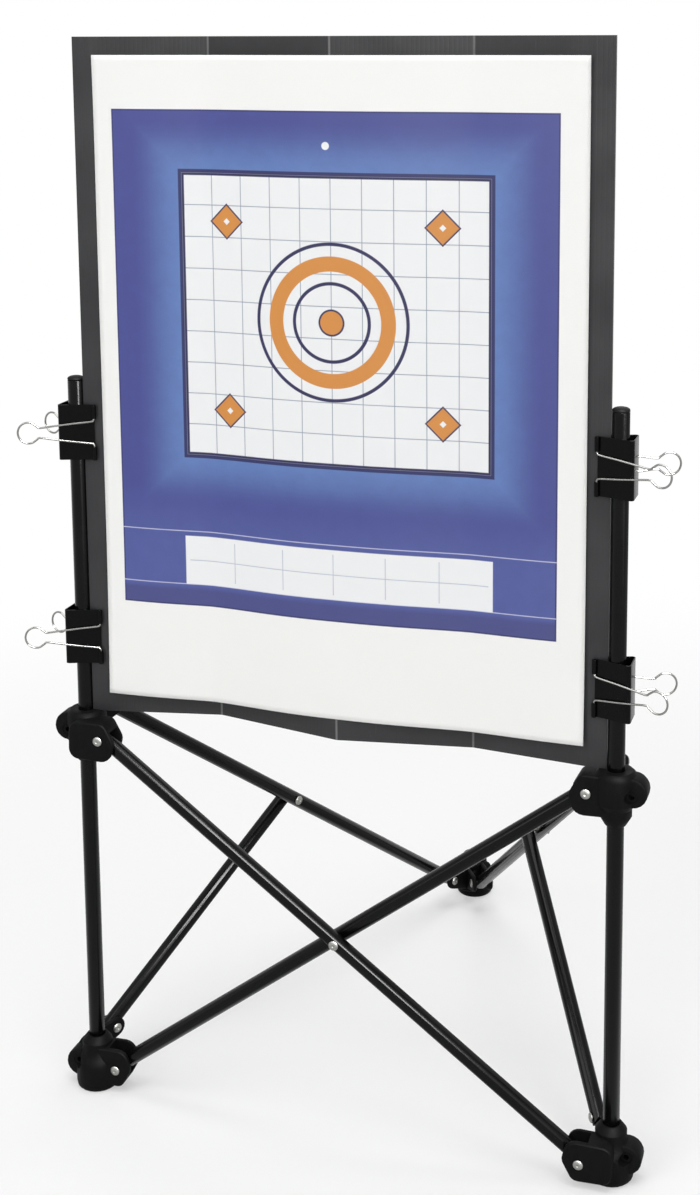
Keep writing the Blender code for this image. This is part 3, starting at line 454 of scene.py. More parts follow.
# half of the sheet's middle line, from a jaw's end to the middle of the spine
def clipHalfLine():
    mouthX, mouthY = clip["mouth"]
    slope = math.atan2(clip["spine half"] - mouthY, mouthX - clip["spine"])
    half = clip["sheet"] / 2
    end = Vector((mouthX + half * math.sin(slope), mouthY + half * math.cos(slope)))
    spineX = clip["spine"] - half
    corner = Vector((spineX, end.y + (end.x - spineX) * math.tan(slope)))
    alongJaw = (end - corner).normalized()
    alongSpine = Vector((0, -1))
    opening = alongJaw.angle(alongSpine)
    tangent = clip["corner"] / math.tan(opening / 2)
    centre = corner + (alongJaw + alongSpine).normalized() * clip["corner"] / math.sin(opening / 2)
    start, stop = corner + alongJaw * tangent, corner + alongSpine * tangent
    inwards = Vector((-alongJaw.y, alongJaw.x))
    if inwards.y > 0:
        inwards = -inwards
    line = []
    for step in range(clip["jaw steps"] + 1):
        share = step / clip["jaw steps"]
        line.append(end.lerp(start, share) + inwards * clip["bow"] * math.sin(math.pi * share))
    spread = (stop - centre).angle_signed(start - centre)
    for step in range(1, clip["corner steps"]):
        turn = Matrix.Rotation(spread * step / clip["corner steps"], 2)
        line.append(centre + turn @ (start - centre))
    return line + [stop], slope


# the middle of the roll at a jaw's end, in which the wire turns
def rollMiddle(slope):
    out = clip["roll bore"] + clip["roll wall"] + clip["roll gap"]
    return clip["mouth"][0] + out * math.sin(slope), clip["mouth"][1] + out * math.cos(slope)


# a tube with an open bore, upright about a middle and between two heights
def openRoll(bm, place, middle, low, high):
    bore, outer = clip["roll bore"], clip["roll bore"] + clip["roll wall"]
    rings = []
    for radius, height in ((outer, low), (outer, high), (bore, high), (bore, low)):
        ring = []
        for step in range(clip["roll steps"]):
            angle = 2 * math.pi * step / clip["roll steps"]
            spot = (middle[0] + radius * math.cos(angle), middle[1] + radius * math.sin(angle), height)
            ring.append(bm.verts.new(place @ Vector(spot)))
        rings.append(ring)
    for index in range(4):
        bridgeRings(bm, rings[index], rings[(index + 1) % 4])


# one clip's body, its spine towards the board
def clipMesh(name, side, height):
    half, slope = clipHalfLine()
    line = half + [Vector((point.x, -point.y)) for point in reversed(half)]
    place = Matrix.Translation((side * poleX, poleY, height)) @ Matrix.Diagonal((-side, 1, 1, 1))
    bm = bmesh.new()
    levels = (-clip["width"] / 2, clip["width"] / 2)
    walls = []
    for index, point in enumerate(line):
        along = (line[min(index + 1, len(line) - 1)] - line[max(index - 1, 0)]).normalized()
        aside = Vector((-along.y, along.x)) * clip["sheet"] / 2
        spots = [(spot.x, spot.y, level) for spot in (point - aside, point + aside) for level in levels]
        walls.append([bm.verts.new(place @ Vector(spot)) for spot in spots])
    for first, second in zip(walls, walls[1:]):
        for a, b in ((0, 1), (3, 2), (2, 0), (1, 3)):
            bm.faces.new((first[a], first[b], second[b], second[a]))
    for wall in (walls[0], walls[-1]):
        bm.faces.new((wall[0], wall[1], wall[3], wall[2]))
    rollX, rollY = rollMiddle(slope)
    for face in (-1, 1):
        for end in (-1, 1):
            low, high = sorted((end * clip["width"] / 2, end * (clip["width"] / 2 - clip["roll length"])))
            openRoll(bm, place, (rollX, face * rollY), low, high)
    bmesh.ops.recalc_face_normals(bm, faces=bm.faces)
    return meshFrom(bm, name, sharpAngle=40)


for sideName, side in (("left", -1), ("right", 1)):
    for level in ("upper", "lower"):
        nodeName = f"{sideName}_{level}_clip"
        low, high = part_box(nodeName)
        mesh = clipMesh("body_" + nodeName, side, (low.z + high.z) / 2)
        piece = newPiece("body_" + nodeName, mesh, clipEnamel)
        standFor(easeEdges(piece, clip["easing"], sharpAngle=60), nodeName)
print("clip bodies bent")


# clip handles: nickel-plated wire, bent into two legs that pinch in and open into a round loop
handle = {
    "wire radius": 0.0009,
    "length": 0.070,
    "leg half": 0.0104,  # half the gap between the legs at the hinge
    "neck": (0.0490, 0.0046),  # where the legs pinch in: how far along, and half the gap
    "loop radius": 0.0097,
    "bend": 0.0028,  # from the hinge to where the wire has turned outwards
    "bend knot": (0.2, 0.4),  # shares of the bend that steer its curve, along and up
    "leg start": 0.97,  # share of the legs' gap after the bend
    "end gap": 0.002,  # from the clip's end to the wire's end
    "pinch stops": (0.38, 0.74),  # shares of the way to the neck that steer the curve
    "loop stops": (140, 105, 70, 35),  # degrees round the loop
    "steps": 6,
    "sides": 12,
}


# a handle's line from one end round its loop to the other: along from the hinge, and up
def handlePath():
    inner, bend, radius = handle["leg half"], handle["bend"], handle["loop radius"]
    neckAlong, neckHalf = handle["neck"]
    half = [(0.0, clip["width"] / 2 - handle["end gap"]), (0.0, clip["width"] / 2 - clip["roll length"])]
    along, up = handle["bend knot"]
    half += [(along * bend, inner + up * bend), (bend, handle["leg start"] * inner)]
    for share in handle["pinch stops"]:
        half.append((bend + share * (neckAlong - bend), inner + share * (neckHalf - inner)))
    half.append((neckAlong, neckHalf))
    middle = handle["length"] - handle["wire radius"] - radius
    for degrees in handle["loop stops"]:
        angle = math.radians(degrees)
        half.append((middle + radius * math.cos(angle), radius * math.sin(angle)))
    return half + [(middle + radius, 0.0)] + [(along, -up) for along, up in reversed(half)]


# a smooth curve through the knots, with some points for each stretch
def smoothCurve(knots, steps):
    padded = [knots[0]] + list(knots) + [knots[-1]]
    points = []
    for index in range(1, len(padded) - 2):
        before, start, end, after = (Vector(padded[index + step]) for step in (-1, 0, 1, 2))
        for step in range(steps):
            t = step / steps
            bend = 2 * before - 5 * start + 4 * end - after
            twist = 3 * start - before - 3 * end + after
            points.append(start + 0.5 * ((end - before) * t + bend * t ** 2 + twist * t ** 3))
    points.append(Vector(knots[-1]))
    return points


# a round wire along some points that lie in one plane, square to normal
def wireAlong(name, points, normal, radius, sides):
    bm = bmesh.new()
    rings = []
    for index, point in enumerate(points):
        ahead = points[min(index + 1, len(points) - 1)]
        behind = points[max(index - 1, 0)]
        along = (ahead - behind).normalized()
        aside = along.cross(normal).normalized()
        ring = []
        for step in range(sides):
            angle = 2 * math.pi * step / sides
            ring.append(bm.verts.new(point + radius * (math.cos(angle) * aside + math.sin(angle) * normal)))
        rings.append(ring)
    for lower, upper in zip(rings, rings[1:]):
        bridgeRings(bm, lower, upper)
    bm.faces.new(rings[0][::-1])
    bm.faces.new(rings[-1])
    bmesh.ops.recalc_face_normals(bm, faces=bm.faces)
    return meshFrom(bm, name, sharpAngle=50)


path = smoothCurve(handlePath(), handle["steps"])
jawSlope = clipHalfLine()[1]
hingeIn, hingeOut = rollMiddle(jawSlope)
for sideName, side in (("left", -1), ("right", 1)):
    for level in ("upper", "lower"):
        low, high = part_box(f"{sideName}_{level}_clip")
        for face, towards in (("front", -1), ("rear", 1)):
            nodeName = f"{sideName}_{level}_clip_{face}_handle"
            origin = Vector((side * (poleX - hingeIn), poleY + towards * hingeOut, (low.z + high.z) / 2))
            outward = Vector((side * math.cos(jawSlope), towards * math.sin(jawSlope), 0))
            normal = outward.cross(Vector((0, 0, 1)))
            points = [origin + outward * point[0] + Vector((0, 0, point[1])) for point in path]
            mesh = wireAlong("wire_" + nodeName, points, normal, handle["wire radius"], handle["sides"])
            standFor(newPiece("wire_" + nodeName, mesh, wireNickel), nodeName)
print("clip handles bent")


# the backer: extruded twin-wall polypropylene, two skins with an upright rib every few millimetres
board = {
    "thickness": 0.004,
    "skin": 0.00035,
    "rib": 0.00025,
    "rib pitch": 0.004,
    "rib short": 0.0002,  # how much lower the ribs are than the skins
    "creases": (0.020, -0.006, 0.012),  # how far back each crease stands
    "clamped": 0.016,  # flat strip at each edge, inside the clips
    "column": 0.0022,  # the mesh's columns across a panel
    "keep": 0.1603,  # what is left of its free width when the poles are together
}
boardLow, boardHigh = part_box("backer_board")
boardHalf = (boardHigh.x - boardLow.x) / 2


# the board's middle line from above: its ends, the clamped strips' inner edges and the creases
def boardCorners():
    panels = len(board["creases"]) + 1
    line = [(-boardHalf, 0.0), (board["clamped"] - boardHalf, 0.0)]
    for number, depth in enumerate(board["creases"]):
        line.append((-boardHalf + 2 * boardHalf * (number + 1) / panels, depth))
    return line + [(boardHalf - board["clamped"], 0.0), (boardHalf, 0.0)]


# how far back the board's middle stands there
def depthAt(x):
    line = boardCorners()
    for (xFrom, yFrom), (xTo, yTo) in zip(line, line[1:]):
        if x <= xTo:
            return yFrom + (x - xFrom) / (xTo - xFrom) * (yTo - yFrom)
    return line[-1][1]


# the same line with a point for every column of the mesh
def boardColumns():
    line = boardCorners()
    points = []
    for (xFrom, yFrom), (xTo, yTo) in zip(line, line[1:]):
        count = max(1, round((xTo - xFrom) / board["column"]))
        for step in range(count):
            share = step / count
            points.append((xFrom + share * (xTo - xFrom), yFrom + share * (yTo - yFrom)))
    return points + [line[-1]]


# an upright skin on a line, with a map in metres: along the line and up
def standSkin(bm, mapLayer, line, startLength, yFrom, yTo, zFrom, zTo):
    grid = []
    length = startLength
    for index, (x, y) in enumerate(line):
        if index > 0:
            length += math.hypot(x - line[index - 1][0], y - line[index - 1][1])
        spots = [(x, y + yFrom, zFrom), (x, y + yTo, zFrom), (x, y + yTo, zTo), (x, y + yFrom, zTo)]
        grid.append(([bm.verts.new((spotX, poleY + spotY, spotZ)) for spotX, spotY, spotZ in spots], length))
    for (first, lengthFirst), (second, lengthSecond) in zip(grid, grid[1:]):
        for index in range(4):
            after = (index + 1) % 4
            face = bm.faces.new((first[index], second[index], second[after], first[after]))
            for loop in face.loops:
                along = lengthFirst if loop.vert in first else lengthSecond
                loop[mapLayer].uv = (along, loop.vert.co.z - zFrom)
    for corners, length in (grid[0], grid[-1]):
        face = bm.faces.new(corners)
        for loop in face.loops:
            loop[mapLayer].uv = (length, loop.vert.co.z - zFrom)
    return grid[-1][1]


# upright ribs at their pitch along a line
def ribTree():
    tree, given = newTree("boardRibs", ("rib pitch", "rib", "depth", "height"))
    line = addNode(tree, "GeometryNodeMeshToCurve", {}, {"Mesh": given["Geometry"]})
    stations = addNode(
        tree, "GeometryNodeResampleCurve", {"mode": "LENGTH"}, {"Curve": line, "Length": given["rib pitch"]}
    )
    size = addNode(
        tree, "ShaderNodeCombineXYZ", {}, {0: given["rib"], 1: given["depth"], 2: given["height"]}
    )
    wall = addNode(tree, "GeometryNodeMeshCube", {}, {"Size": size})
    walls = addNode(
        tree, "GeometryNodeInstanceOnPoints", {}, {"Points": stations, "Instance": wall.outputs["Mesh"]}
    )
    real = addNode(tree, "GeometryNodeRealizeInstances", {}, {0: walls})
    skin = addNode(tree, "GeometryNodeSetMaterial", {}, {"Geometry": real, "Material": given["Material"]})
    addNode(tree, "NodeGroupOutput", {}, {0: skin})
    return tree


# how far a value is from a fixed one, either way
def distanceFrom(tree, value, fixed):
    moved = addNode(tree, "ShaderNodeMath", {"operation": "SUBTRACT", 1: fixed}, {0: value})
    return addNode(tree, "ShaderNodeMath", {"operation": "ABSOLUTE"}, {0: moved})


# charcoal polypropylene, extruded: satin, the ribs showing as faint upright lines,
# pale stress lines where it was folded, and light scuffs across it
def boardPattern(tree):
    place = addNode(tree, "ShaderNodeUVMap", {"uv_map": "boardMap"})
    along = addNode(tree, "ShaderNodeSeparateXYZ", {}, {0: place}).outputs["X"]
    rib = addNode(tree, "ShaderNodeMath", {"operation": "PINGPONG", 1: board["rib pitch"] / 2}, {0: along})
    ribLine = addNode(
        tree, "ShaderNodeMapRange", {"interpolation_type": "SMOOTHSTEP", 1: 0.0, 2: 0.0011, 3: 0.0, 4: 1.0},
        {0: rib},
    )
    cloud = addNode(tree, "ShaderNodeTexNoise", {"Scale": perFeature(70), "Detail": 4.0}, {"Vector": place})
    streak = addNode(tree, "ShaderNodeMapping", {"Scale": (18.0, 1.0, 1.0)}, {"Vector": place})
    scuff = addNode(
        tree, "ShaderNodeTexNoise", {"Scale": perFeature(55), "Detail": 6.0, "Roughness": 0.7},
        {"Vector": streak},
    )
    scuffed = addNode(tree, "ShaderNodeMapRange", {1: 0.62, 2: 0.80, 3: 0.0, 4: 0.35}, {0: scuff})
    sockets = varied(
        tree, ("#29292b", "#39393b"), cloud, (0.3, 0.7, 0.36, 0.50), cloud, (0.16, 0.0003), ribLine
    )
    colour = layOver(tree, sockets["Base Color"], "#565658", scuffed)
    for length in creaseLengths:
        away = distanceFrom(tree, along, length)
        pale = addNode(tree, "ShaderNodeMapRange", {1: 0.0004, 2: 0.0014, 3: 0.75, 4: 0.0}, {0: away})
        colour = layOver(tree, colour, "#7c7c7c", pale)
    return {**sockets, "Base Color": colour}


corners = boardCorners()
cornerLengths = [0.0]
for (x, y), (xNext, yNext) in zip(corners, corners[1:]):
    cornerLengths.append(cornerLengths[-1] + math.hypot(xNext - x, yNext - y))
creaseLengths = cornerLengths[2:-2]
boardPlastic = makeMaterial("extrudedPolypropylene", {"Specular IOR Level": 0.25}, boardPattern)

columns = boardColumns()
seams = (board["clamped"] - boardHalf, boardHalf - board["clamped"])
middleZ = (boardLow.z + boardHigh.z) / 2
ribMaker = ribTree()


# one part of the board, between two places along x: two skins and the ribs between them
def boardPart(name, xFrom, xTo, startLength):
    line = [(x, y) for x, y in columns if xFrom - 1e-6 <= x <= xTo + 1e-6]
    inset = board["rib"] / 2
    ribPoints = [(max(xFrom + inset, min(xTo - inset, x)), poleY + y, middleZ) for x, y in line]
    ribMesh = bpy.data.meshes.new(name + "Ribs")
    ribMesh.from_pydata(ribPoints, [(index, index + 1) for index in range(len(ribPoints) - 1)], [])
    ribs = newPiece(name + "Ribs", ribMesh)
    depth, height = board["thickness"] - board["skin"], boardHigh.z - boardLow.z - board["rib short"]
    growWith(ribs, ribMaker, {**board, "depth": depth, "height": height, "Material": boardPlastic})
    half, skin = board["thickness"] / 2, board["skin"]
    bm = bmesh.new()
    boardMap = bm.loops.layers.uv.new("boardMap")
    standSkin(bm, boardMap, line, startLength, -half, skin - half, boardLow.z, boardHigh.z)
    endLength = standSkin(bm, boardMap, line, startLength, half - skin, half, boardLow.z, boardHigh.z)
    bmesh.ops.recalc_face_normals(bm, faces=bm.faces)
    bm.from_mesh(ribs.data)
    bpy.data.objects.remove(ribs)
    piece = newPiece(name, meshFrom(bm, name, sharpAngle=5), boardPlastic)
    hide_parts("backer_board")
    return piece, endLength


# the clamped edges stay flat in the clips and ride with them; the width between rides with the left clips
leftEdge, length = boardPart("backerLeftEdge", -boardHalf, seams[0], 0.0)
backer, length = boardPart("backerPanel", seams[0], seams[1], length)
rightEdge, length = boardPart("backerRightEdge", seams[1], boardHalf, length)
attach(leftEdge, "left_clips")
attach(backer, "left_clips")
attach(rightEdge, "right_clips")
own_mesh(backer)
print("board made:", len(backer.data.polygons), "faces in its free width")


# the sheet: printed paper hung on the front of the board
sheet = {
    "width": 0.4445,
    "height": 0.584,
    "thickness": 0.0004,
    "top margin": 0.016,
    "gap": 0.0003,  # to the board, where they touch
    "stand off": 0.001,  # further out, at its side edges
    "sag": 0.30,  # how much of the board's folds it follows
    "columns": 90,
    "rows": 116,
    "ripple": 0.0011,  # how far it stands off its hung line between the folds
    "ripples": (2.6, 1.7, 3.1),  # how many across and down, and the noise's layer
    "curl": 0.0028,  # how far its lower corners come forward
    "curl from": (0.62, 0.72, 0.16),  # where it starts: share out from the middle, and of the height
}


# how far back the hung sheet stands there: on a line from the middle crease, sagging to the board
def sheetDepth(x):
    proud = (board["thickness"] + sheet["thickness"]) / 2 + sheet["gap"]
    middle = board["creases"][1] - proud
    edge = depthAt(-sheet["width"] / 2) - proud - sheet["stand off"]
    share = abs(2 * x / sheet["width"])
    chord = middle + (edge - middle) * share ** 2
    bow = sheet["sag"] * max(0.0, depthAt(x) - proud - chord)
    return chord + bow * math.sin(math.pi * share) ** 2


# how far forward of that the paper stands: slow ripples, and corners that curl, the upper ones half
def paperLift(across, down):
    side = abs(2 * across - 1)
    scaleX, scaleY, layer = sheet["ripples"]
    ripple = 0.5 + 0.5 * noise.noise(Vector((across * scaleX, down * scaleY, layer)))
    lift = sheet["ripple"] * ripple * side
    sideFrom, lowerFrom, upperFrom = sheet["curl from"]
    lower = max(0.0, (down - lowerFrom) / (1 - lowerFrom))
    upper = max(0.0, (upperFrom - down) / upperFrom)
    corner = max(0.0, (side - sideFrom) / (1 - sideFrom))
    return lift + sheet["curl"] * (corner * lower) ** 2 + 0.5 * sheet["curl"] * (corner * upper) ** 2


sheetTop = boardHigh.z - sheet["top margin"]
bm = bmesh.new()
paperMap = bm.loops.layers.uv.new("paperMap")
grid = []
for row in range(sheet["rows"] + 1):
    down = row / sheet["rows"]
    line = []
    for column in range(sheet["columns"] + 1):
        across = column / sheet["columns"]
        x = (across - 0.5) * sheet["width"]
        y = poleY + sheetDepth(x) - paperLift(across, down)
        line.append(bm.verts.new((x, y, sheetTop - down * sheet["height"])))
    grid.append(line)
for row in range(sheet["rows"]):
    for column in range(sheet["columns"]):
        spots = ((column, row), (column, row + 1), (column + 1, row + 1), (column + 1, row))
        face = bm.faces.new([grid[down][across] for across, down in spots])
        for loop, (across, down) in zip(face.loops, spots):
            loop[paperMap].uv = (across / sheet["columns"], 1 - down / sheet["rows"])
mesh = meshFrom(bm, "printedSheet")

# the print, in millimetres from the sheet's upper left corner; a box is its left, right, top and bottom
ink = {
    "field": (17.8, 420.0, 46.7, 494.0),
    "field edge": 1.2,
    "glow": 46.0,  # reach of the paler blue round the panel
    "foot fade": (380.0, 440.0),
    "rim fade": (476.0, 480.0),
    "panel": (82.0, 362.0, 101.5, 353.5),
    "panel rules": (2.2, 3.2),  # the rule inside its edge, and the shadow outside
    "cell": 28.0,
    "cell margin": 0.2,
    "thin rule": 0.7,
    "ring radii": (34.0, 68.0),
    "ring rule": 3.0,
    "ring band": 13.0,
    "disc": 11.0,
    "disc edge": 1.6,
    "diamond": 15.0,
    "diamond edge": 1.8,
    "diamond eye": 3.0,
    "diamonds": ((-98.0, -84.0), (98.0, -84.0), (-98.0, 84.0), (98.0, 84.0)),  # from the rings' middle
    "rules": (424.6, 474.0),
    "rule": 0.8,
    "strip": (78.0, 364.0, 429.0, 474.0),
    "strip margin": 4.0,
    "strip box": 47.667,
    "hang mark": (218.0, 76.0, 3.4),  # across, down and radius
    "navy": "#1f1d4f",
    "orange": "#d98f40",
    "white": "#f4f5f6",
}


# signed distance to a rectangle's edge, less than nothing inside it
def boxDistance(tree, across, down, box):
    left, right, top, bottom = box
    gaps = []
    for value, low, high in ((across, left, right), (down, top, bottom)):
        away = distanceFrom(tree, value, (low + high) / 2)
        gaps.append(addNode(
            tree, "ShaderNodeMath", {"operation": "SUBTRACT", 1: (high - low) / 2}, {0: away}
        ))
    return addNode(tree, "ShaderNodeMath", {"operation": "MAXIMUM"}, {0: gaps[0], 1: gaps[1]})


# distance from a point, round or in a diamond's measure
def spotDistance(tree, across, down, x, y, diamond=False):
    aside, below = distanceFrom(tree, across, x), distanceFrom(tree, down, y)
    if diamond:
        return addNode(tree, "ShaderNodeMath", {"operation": "ADD"}, {0: aside, 1: below})
    both = addNode(tree, "ShaderNodeCombineXYZ", {}, {0: aside, 1: below})
    return addNode(tree, "ShaderNodeVectorMath", {"operation": "LENGTH"}, {0: both}).outputs["Value"]


# 1 where the distance is under a limit, with a soft edge of a fraction of a millimetre
def under(tree, distance, limit, soft=0.25):
    return addNode(
        tree, "ShaderNodeMapRange", {1: limit - soft, 2: limit + soft, 3: 1.0, 4: 0.0}, {0: distance}
    )


# 1 on a line of some width where the distance is nearly a value
def onLine(tree, distance, value, width):
    return under(tree, distanceFrom(tree, distance, value), width / 2)


# distance from the nearest of some rules a pitch apart, the first at a start
def ruleDistance(tree, value, start, pitch):
    moved = addNode(tree, "ShaderNodeMath", {"operation": "SUBTRACT", 1: start}, {0: value})
    return addNode(tree, "ShaderNodeMath", {"operation": "PINGPONG", 1: pitch / 2}, {0: moved})


# smooth offset paper: matt white where bare, and a slight sheen with a faint mottle on the ink
def paperPattern(tree):
    place = addNode(tree, "ShaderNodeUVMap", {"uv_map": "paperMap"})
    split = addNode(tree, "ShaderNodeSeparateXYZ", {}, {0: place})
    across = addNode(
        tree, "ShaderNodeMath", {"operation": "MULTIPLY", 1: sheet["width"] * 1000}, {0: split.outputs["X"]}
    )
    down = addNode(
        tree, "ShaderNodeMath",
        {"operation": "MULTIPLY_ADD", 1: -sheet["height"] * 1000, 2: sheet["height"] * 1000},
        {0: split.outputs["Y"]},
    )
    spot = addNode(tree, "ShaderNodeCombineXYZ", {}, {0: across, 1: down})
    mottle = addNode(
        tree, "ShaderNodeTexNoise", {"Scale": 1 / 16, "Detail": 5.0, "Roughness": 0.6}, {"Vector": spot}
    )
    fibres = addNode(
        tree, "ShaderNodeTexNoise", {"Scale": 1 / 1.2, "Detail": 4.0, "Roughness": 0.7}, {"Vector": spot}
    )
    field = boxDistance(tree, across, down, ink["field"])
    panel = boxDistance(tree, across, down, ink["panel"])
    strip = boxDistance(tree, across, down, ink["strip"])

    # the blue field: pale round the panel, deeper to its rim and foot
    glow = addNode(
        tree, "ShaderNodeMapRange",
        {"interpolation_type": "SMOOTHSTEP", 1: 0.0, 2: ink["glow"], 3: 1.0, 4: 0.0}, {0: panel},
    )
    blue = addNode(
        tree, "ShaderNodeMix", {"data_type": "RGBA", 6: linear("#434a92"), 7: linear("#6180bd")}, {0: glow}
    ).outputs[2]
    fadeFrom, fadeTo = ink["foot fade"]
    foot = addNode(
        tree, "ShaderNodeMapRange",
        {"interpolation_type": "SMOOTHSTEP", 1: fadeFrom, 2: fadeTo, 3: 0.0, 4: 0.5}, {0: down},
    )
    blue = layOver(tree, blue, "#5a68ab", foot)
    fadeFrom, fadeTo = ink["rim fade"]
    rim = addNode(tree, "ShaderNodeMapRange", {1: fadeFrom, 2: fadeTo, 3: 0.0, 4: 0.8}, {0: down})
    blue = layOver(tree, blue, "#42457f", rim)
    shade = addNode(tree, "ShaderNodeMapRange", {1: 0.35, 2: 0.75, 3: 0.0, 4: 0.14}, {0: mottle})
    blue = layOver(tree, blue, "#2f3474", shade)

    # on the bare paper
    inked = under(tree, field, 0.0)
    sockets = varied(
        tree, ("#f3f3f1", "#fbfbf8"), fibres, (0.0, 1.0, 0.72, 0.52), inked, (0.06, 0.0002), fibres
    )
    bare = sockets["Base Color"]
    colour = addNode(tree, "ShaderNodeMix", {"data_type": "RGBA"}, {0: inked, 6: bare, 7: blue}).outputs[2]

    # the inks over it, each with its masks: a line round the field, a shadow rule round the panel, the panel
    panelRule, shadow = ink["panel rules"]
    layers = [
        ("#2a2c66", onLine(tree, field, -ink["field edge"] / 2, ink["field edge"])),
        ("#23265e", under(tree, panel, shadow), inked),
        (ink["white"], under(tree, panel, 0.0)),
    ]
    onPanel = under(tree, panel, -ink["cell margin"])
    for value, start in ((across, ink["panel"][0]), (down, ink["panel"][2])):
        near = ruleDistance(tree, value, start, ink["cell"])
        layers.append(("#8e97ac", under(tree, near, ink["thin rule"] / 2), onPanel))
    layers.append((ink["navy"], onLine(tree, panel, -panelRule / 2, panelRule)))

    # rings about the middle, an orange disc in them and an orange diamond towards each corner
    middleX = (ink["panel"][0] + ink["panel"][1]) / 2
    middleY = (ink["panel"][2] + ink["panel"][3]) / 2
    away = spotDistance(tree, across, down, middleX, middleY)
    inner, outer = ink["ring radii"]
    layers += [
        (ink["navy"], onLine(tree, away, inner, ink["ring rule"])),
        (ink["navy"], onLine(tree, away, outer, ink["ring rule"])),
        (ink["orange"], onLine(tree, away, (inner + outer) / 2, ink["ring band"])),
        (ink["orange"], under(tree, away, ink["disc"])),
        (ink["navy"], onLine(tree, away, ink["disc"], ink["disc edge"])),
    ]
    for aside, below in ink["diamonds"]:
        gap = spotDistance(tree, across, down, middleX + aside, middleY + below, diamond=True)
        layers += [
            (ink["orange"], under(tree, gap, ink["diamond"])),
            (ink["navy"], onLine(tree, gap, ink["diamond"], ink["diamond edge"])),
            (ink["white"], under(tree, gap, ink["diamond eye"])),
        ]

    # two rules across the foot, a blank strip in boxes between them, and the mark to hang it by
    layers += [("#c9cde4", onLine(tree, down, level, ink["rule"]), inked) for level in ink["rules"]]
    layers.append((ink["white"], under(tree, strip, 0.0)))
    onStrip = under(tree, strip, -ink["strip margin"])
    near = ruleDistance(tree, across, ink["strip"][0], ink["strip box"])
    stripMiddle = (ink["strip"][2] + ink["strip"][3]) / 2
    markX, markY, markRadius = ink["hang mark"]
    mark = spotDistance(tree, across, down, markX, markY)
    layers += [
        ("#b9bfd0", under(tree, near, ink["thin rule"] / 2), onStrip),
        ("#b9bfd0", onLine(tree, down, stripMiddle, ink["thin rule"]), onStrip),
        (ink["white"], under(tree, mark, markRadius)),
    ]
    for layer in layers:
        colour = layOver(tree, colour, *layer)
    return {**sockets, "Base Color": colour}


paperStock = makeMaterial("offsetPrintedPaper", {"Specular IOR Level": 0.35}, paperPattern)
paper = newPiece("printedSheet", mesh, paperStock)
thick = paper.modifiers.new("thickness", "SOLIDIFY")
thick.thickness = sheet["thickness"]
thick.offset = 0
bake(paper)
standFor(paper, "target_sheet")
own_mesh(paper)
print("sheet printed and hung")


# floor and studio
studio = {
    "floor half": 14.0,
    "floor drop": 0.0004,
    "fade": (0.45, 1.5, 0.45, 1.0),  # metres over which the floor turns into the background, and shares of it
    "world": 0.30,  # the light from all round
    "aim": (0, -0.2, 0.35),
}


# 1 for the rays that see the white background, so that metal shows it too
def whiteRays(tree):
    rays = addNode(tree, "ShaderNodeLightPath")
    seen = rays.outputs["Is Camera Ray"]
    for kind in ("Is Glossy Ray", "Is Transmission Ray"):
        seen = addNode(tree, "ShaderNodeMath", {"operation": "MAXIMUM"}, {0: seen, 1: rays.outputs[kind]})
    return seen


# white paper underfoot that fades into the background
def makeFloor():
    mesh = bpy.data.meshes.new("studioFloor")
    far, low = studio["floor half"], -studio["floor drop"]
    corners = [(-far, -far, low), (far, -far, low), (far, far, low), (-far, far, low)]
    mesh.from_pydata(corners, [], [(0, 1, 2, 3)])
    material = bpy.data.materials.new("studioPaper")
    tree = emptyTree(material)
    place = objectPlace(tree)
    away = addNode(tree, "ShaderNodeVectorMath", {"operation": "LENGTH"}, {0: place})
    settings = {"interpolation_type": "SMOOTHSTEP", **dict(enumerate(studio["fade"], 1))}
    fade = addNode(tree, "ShaderNodeMapRange", settings, {0: away.outputs["Value"]})
    share = addNode(tree, "ShaderNodeMath", {"operation": "MULTIPLY"}, {0: fade, 1: whiteRays(tree)})
    grain = addNode(tree, "ShaderNodeTexNoise", {"Scale": 90.0, "Detail": 3.0}, {"Vector": place})
    colour = addNode(
        tree, "ShaderNodeMix", {"data_type": "RGBA", 6: linear("#f5f5f5"), 7: linear("#f8f8f8")}, {0: grain}
    )
    matt = addNode(tree, "ShaderNodeBsdfDiffuse", {}, {"Color": colour.outputs[2]})
    white = addNode(tree, "ShaderNodeEmission", {"Strength": 1.0})
    both = addNode(tree, "ShaderNodeMixShader", {}, {0: share, 1: matt, 2: white})
    addNode(tree, "ShaderNodeOutputMaterial", {}, {"Surface": both})
    floor = newPiece("studioFloor", mesh, material)


def makeWorld():
    world = bpy.data.worlds.new("studioWorld")
    bpy.context.scene.world = world
    tree = emptyTree(world)
    strength = addNode(
        tree, "ShaderNodeMapRange", {1: 0.0, 2: 1.0, 3: studio["world"], 4: 1.0}, {0: whiteRays(tree)}
    )
    sky = addNode(tree, "ShaderNodeBackground", {"Color": (1, 1, 1, 1)}, {"Strength": strength})
    addNode(tree, "ShaderNodeOutputWorld", {}, {"Surface": sky})


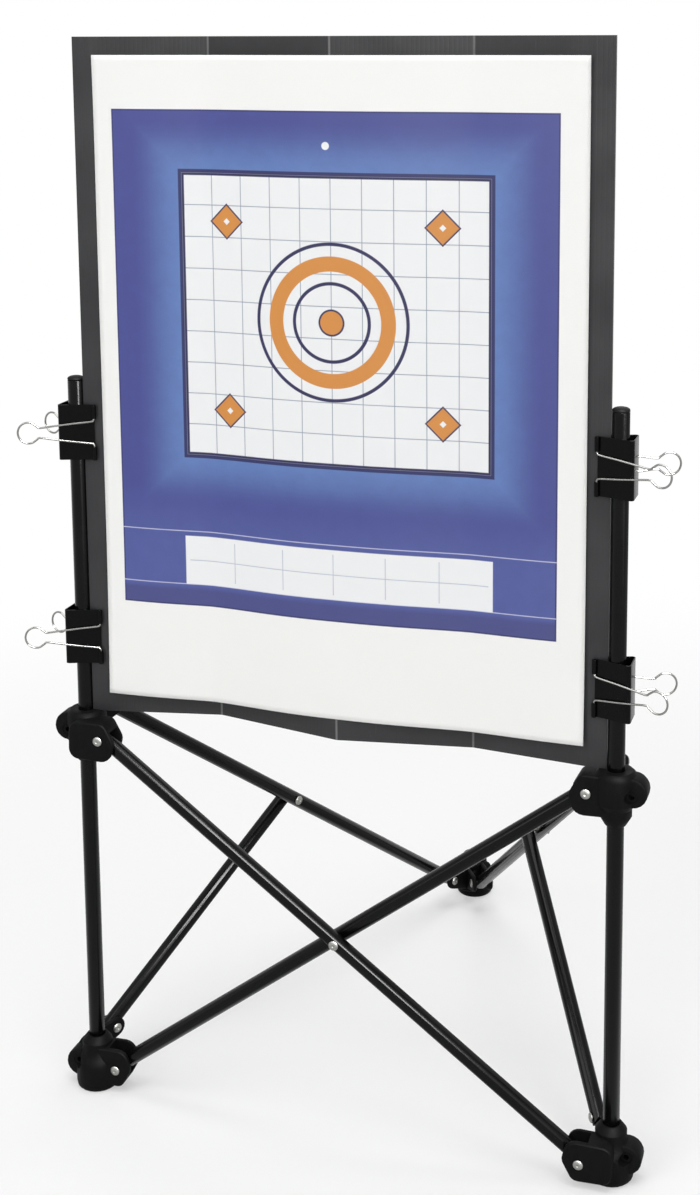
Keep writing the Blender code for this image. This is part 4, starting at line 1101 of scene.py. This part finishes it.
# area lamps: place, watts, size in metres and the direction that the long side lies along;
# glossCard shows in reflections only: the bright line down the front scissor bar and the left brace
lamps = {
    "keyLamp": ((-1.5, -2.4, 2.3), 31, (1.6, 1.6), (1, 0, 0)),
    "fillLamp": ((2.2, -1.9, 1.5), 13, (1.8, 1.8), (1, 0, 0)),
    "backLamp": ((0.4, 2.4, 2.2), 10, (1.6, 1.6), (1, 0, 0)),
    "topLamp": ((0.2, -0.4, 3.9), 84, (2.6, 2.6), (1, 0, 0)),
    "glossCard": ((1.22, -2.1, 2.21), 340, (2.2, 0.9), (0.8, 0, -0.6)),
}


# sets an object in its place, with its own axes along three directions
def placeAlong(thing, place, axisX, axisY, axisZ):
    matrix = Matrix((axisX, axisY, axisZ)).transposed().to_4x4()
    matrix.translation = Vector(place)
    thing.matrix_world = matrix
    bpy.context.scene.collection.objects.link(thing)


def makeLamps():
    target = Vector(studio["aim"])
    for name, (place, watts, size, longWay) in lamps.items():
        light = bpy.data.lights.new(name, "AREA")
        light.shape = "RECTANGLE"
        light.size, light.size_y = size
        light.energy = watts
        lamp = bpy.data.objects.new(name, light)
        back = (Vector(place) - target).normalized()
        aside = (Vector(longWay) - back * back.dot(Vector(longWay))).normalized()
        placeAlong(lamp, place, aside, back.cross(aside), back)
        lamp.visible_diffuse = name != "glossCard"


# the camera, from the photograph's own perspective
view = {
    "place": (0.4986, -1.6424, 0.9996),
    "yaw": 0.2908,
    "pitch": 0.1505,
    "roll": -0.0032,
    "focal pixels": 1756.4,
    "centre": (420.0, 300.0),
    "frame": (700, 1195),
    "sensor": 36,
}


def makeCamera():
    data = bpy.data.cameras.new("photoCamera")
    camera = bpy.data.objects.new("photoCamera", data)
    yaw, pitch, roll = view["yaw"], view["pitch"], view["roll"]
    wide, high = view["frame"]
    ahead = Vector((-math.sin(yaw) * math.cos(pitch), math.cos(yaw) * math.cos(pitch), -math.sin(pitch)))
    right = Vector((math.cos(yaw), math.sin(yaw), 0))
    up = right.cross(ahead)
    axisX = math.cos(roll) * right + math.sin(roll) * up
    axisY = -math.sin(roll) * right + math.cos(roll) * up
    placeAlong(camera, view["place"], axisX, axisY, -ahead)
    bpy.context.scene.camera = camera
    data.sensor_fit = "AUTO"
    data.sensor_width = view["sensor"]
    data.lens = view["focal pixels"] * data.sensor_width / high
    data.shift_x = (wide / 2 - view["centre"][0]) / high
    data.shift_y = (view["centre"][1] - high / 2) / high
    data.clip_start = 0.05


makeFloor()
makeWorld()
makeLamps()
makeCamera()
bpy.context.scene.view_settings.view_transform = "Standard"
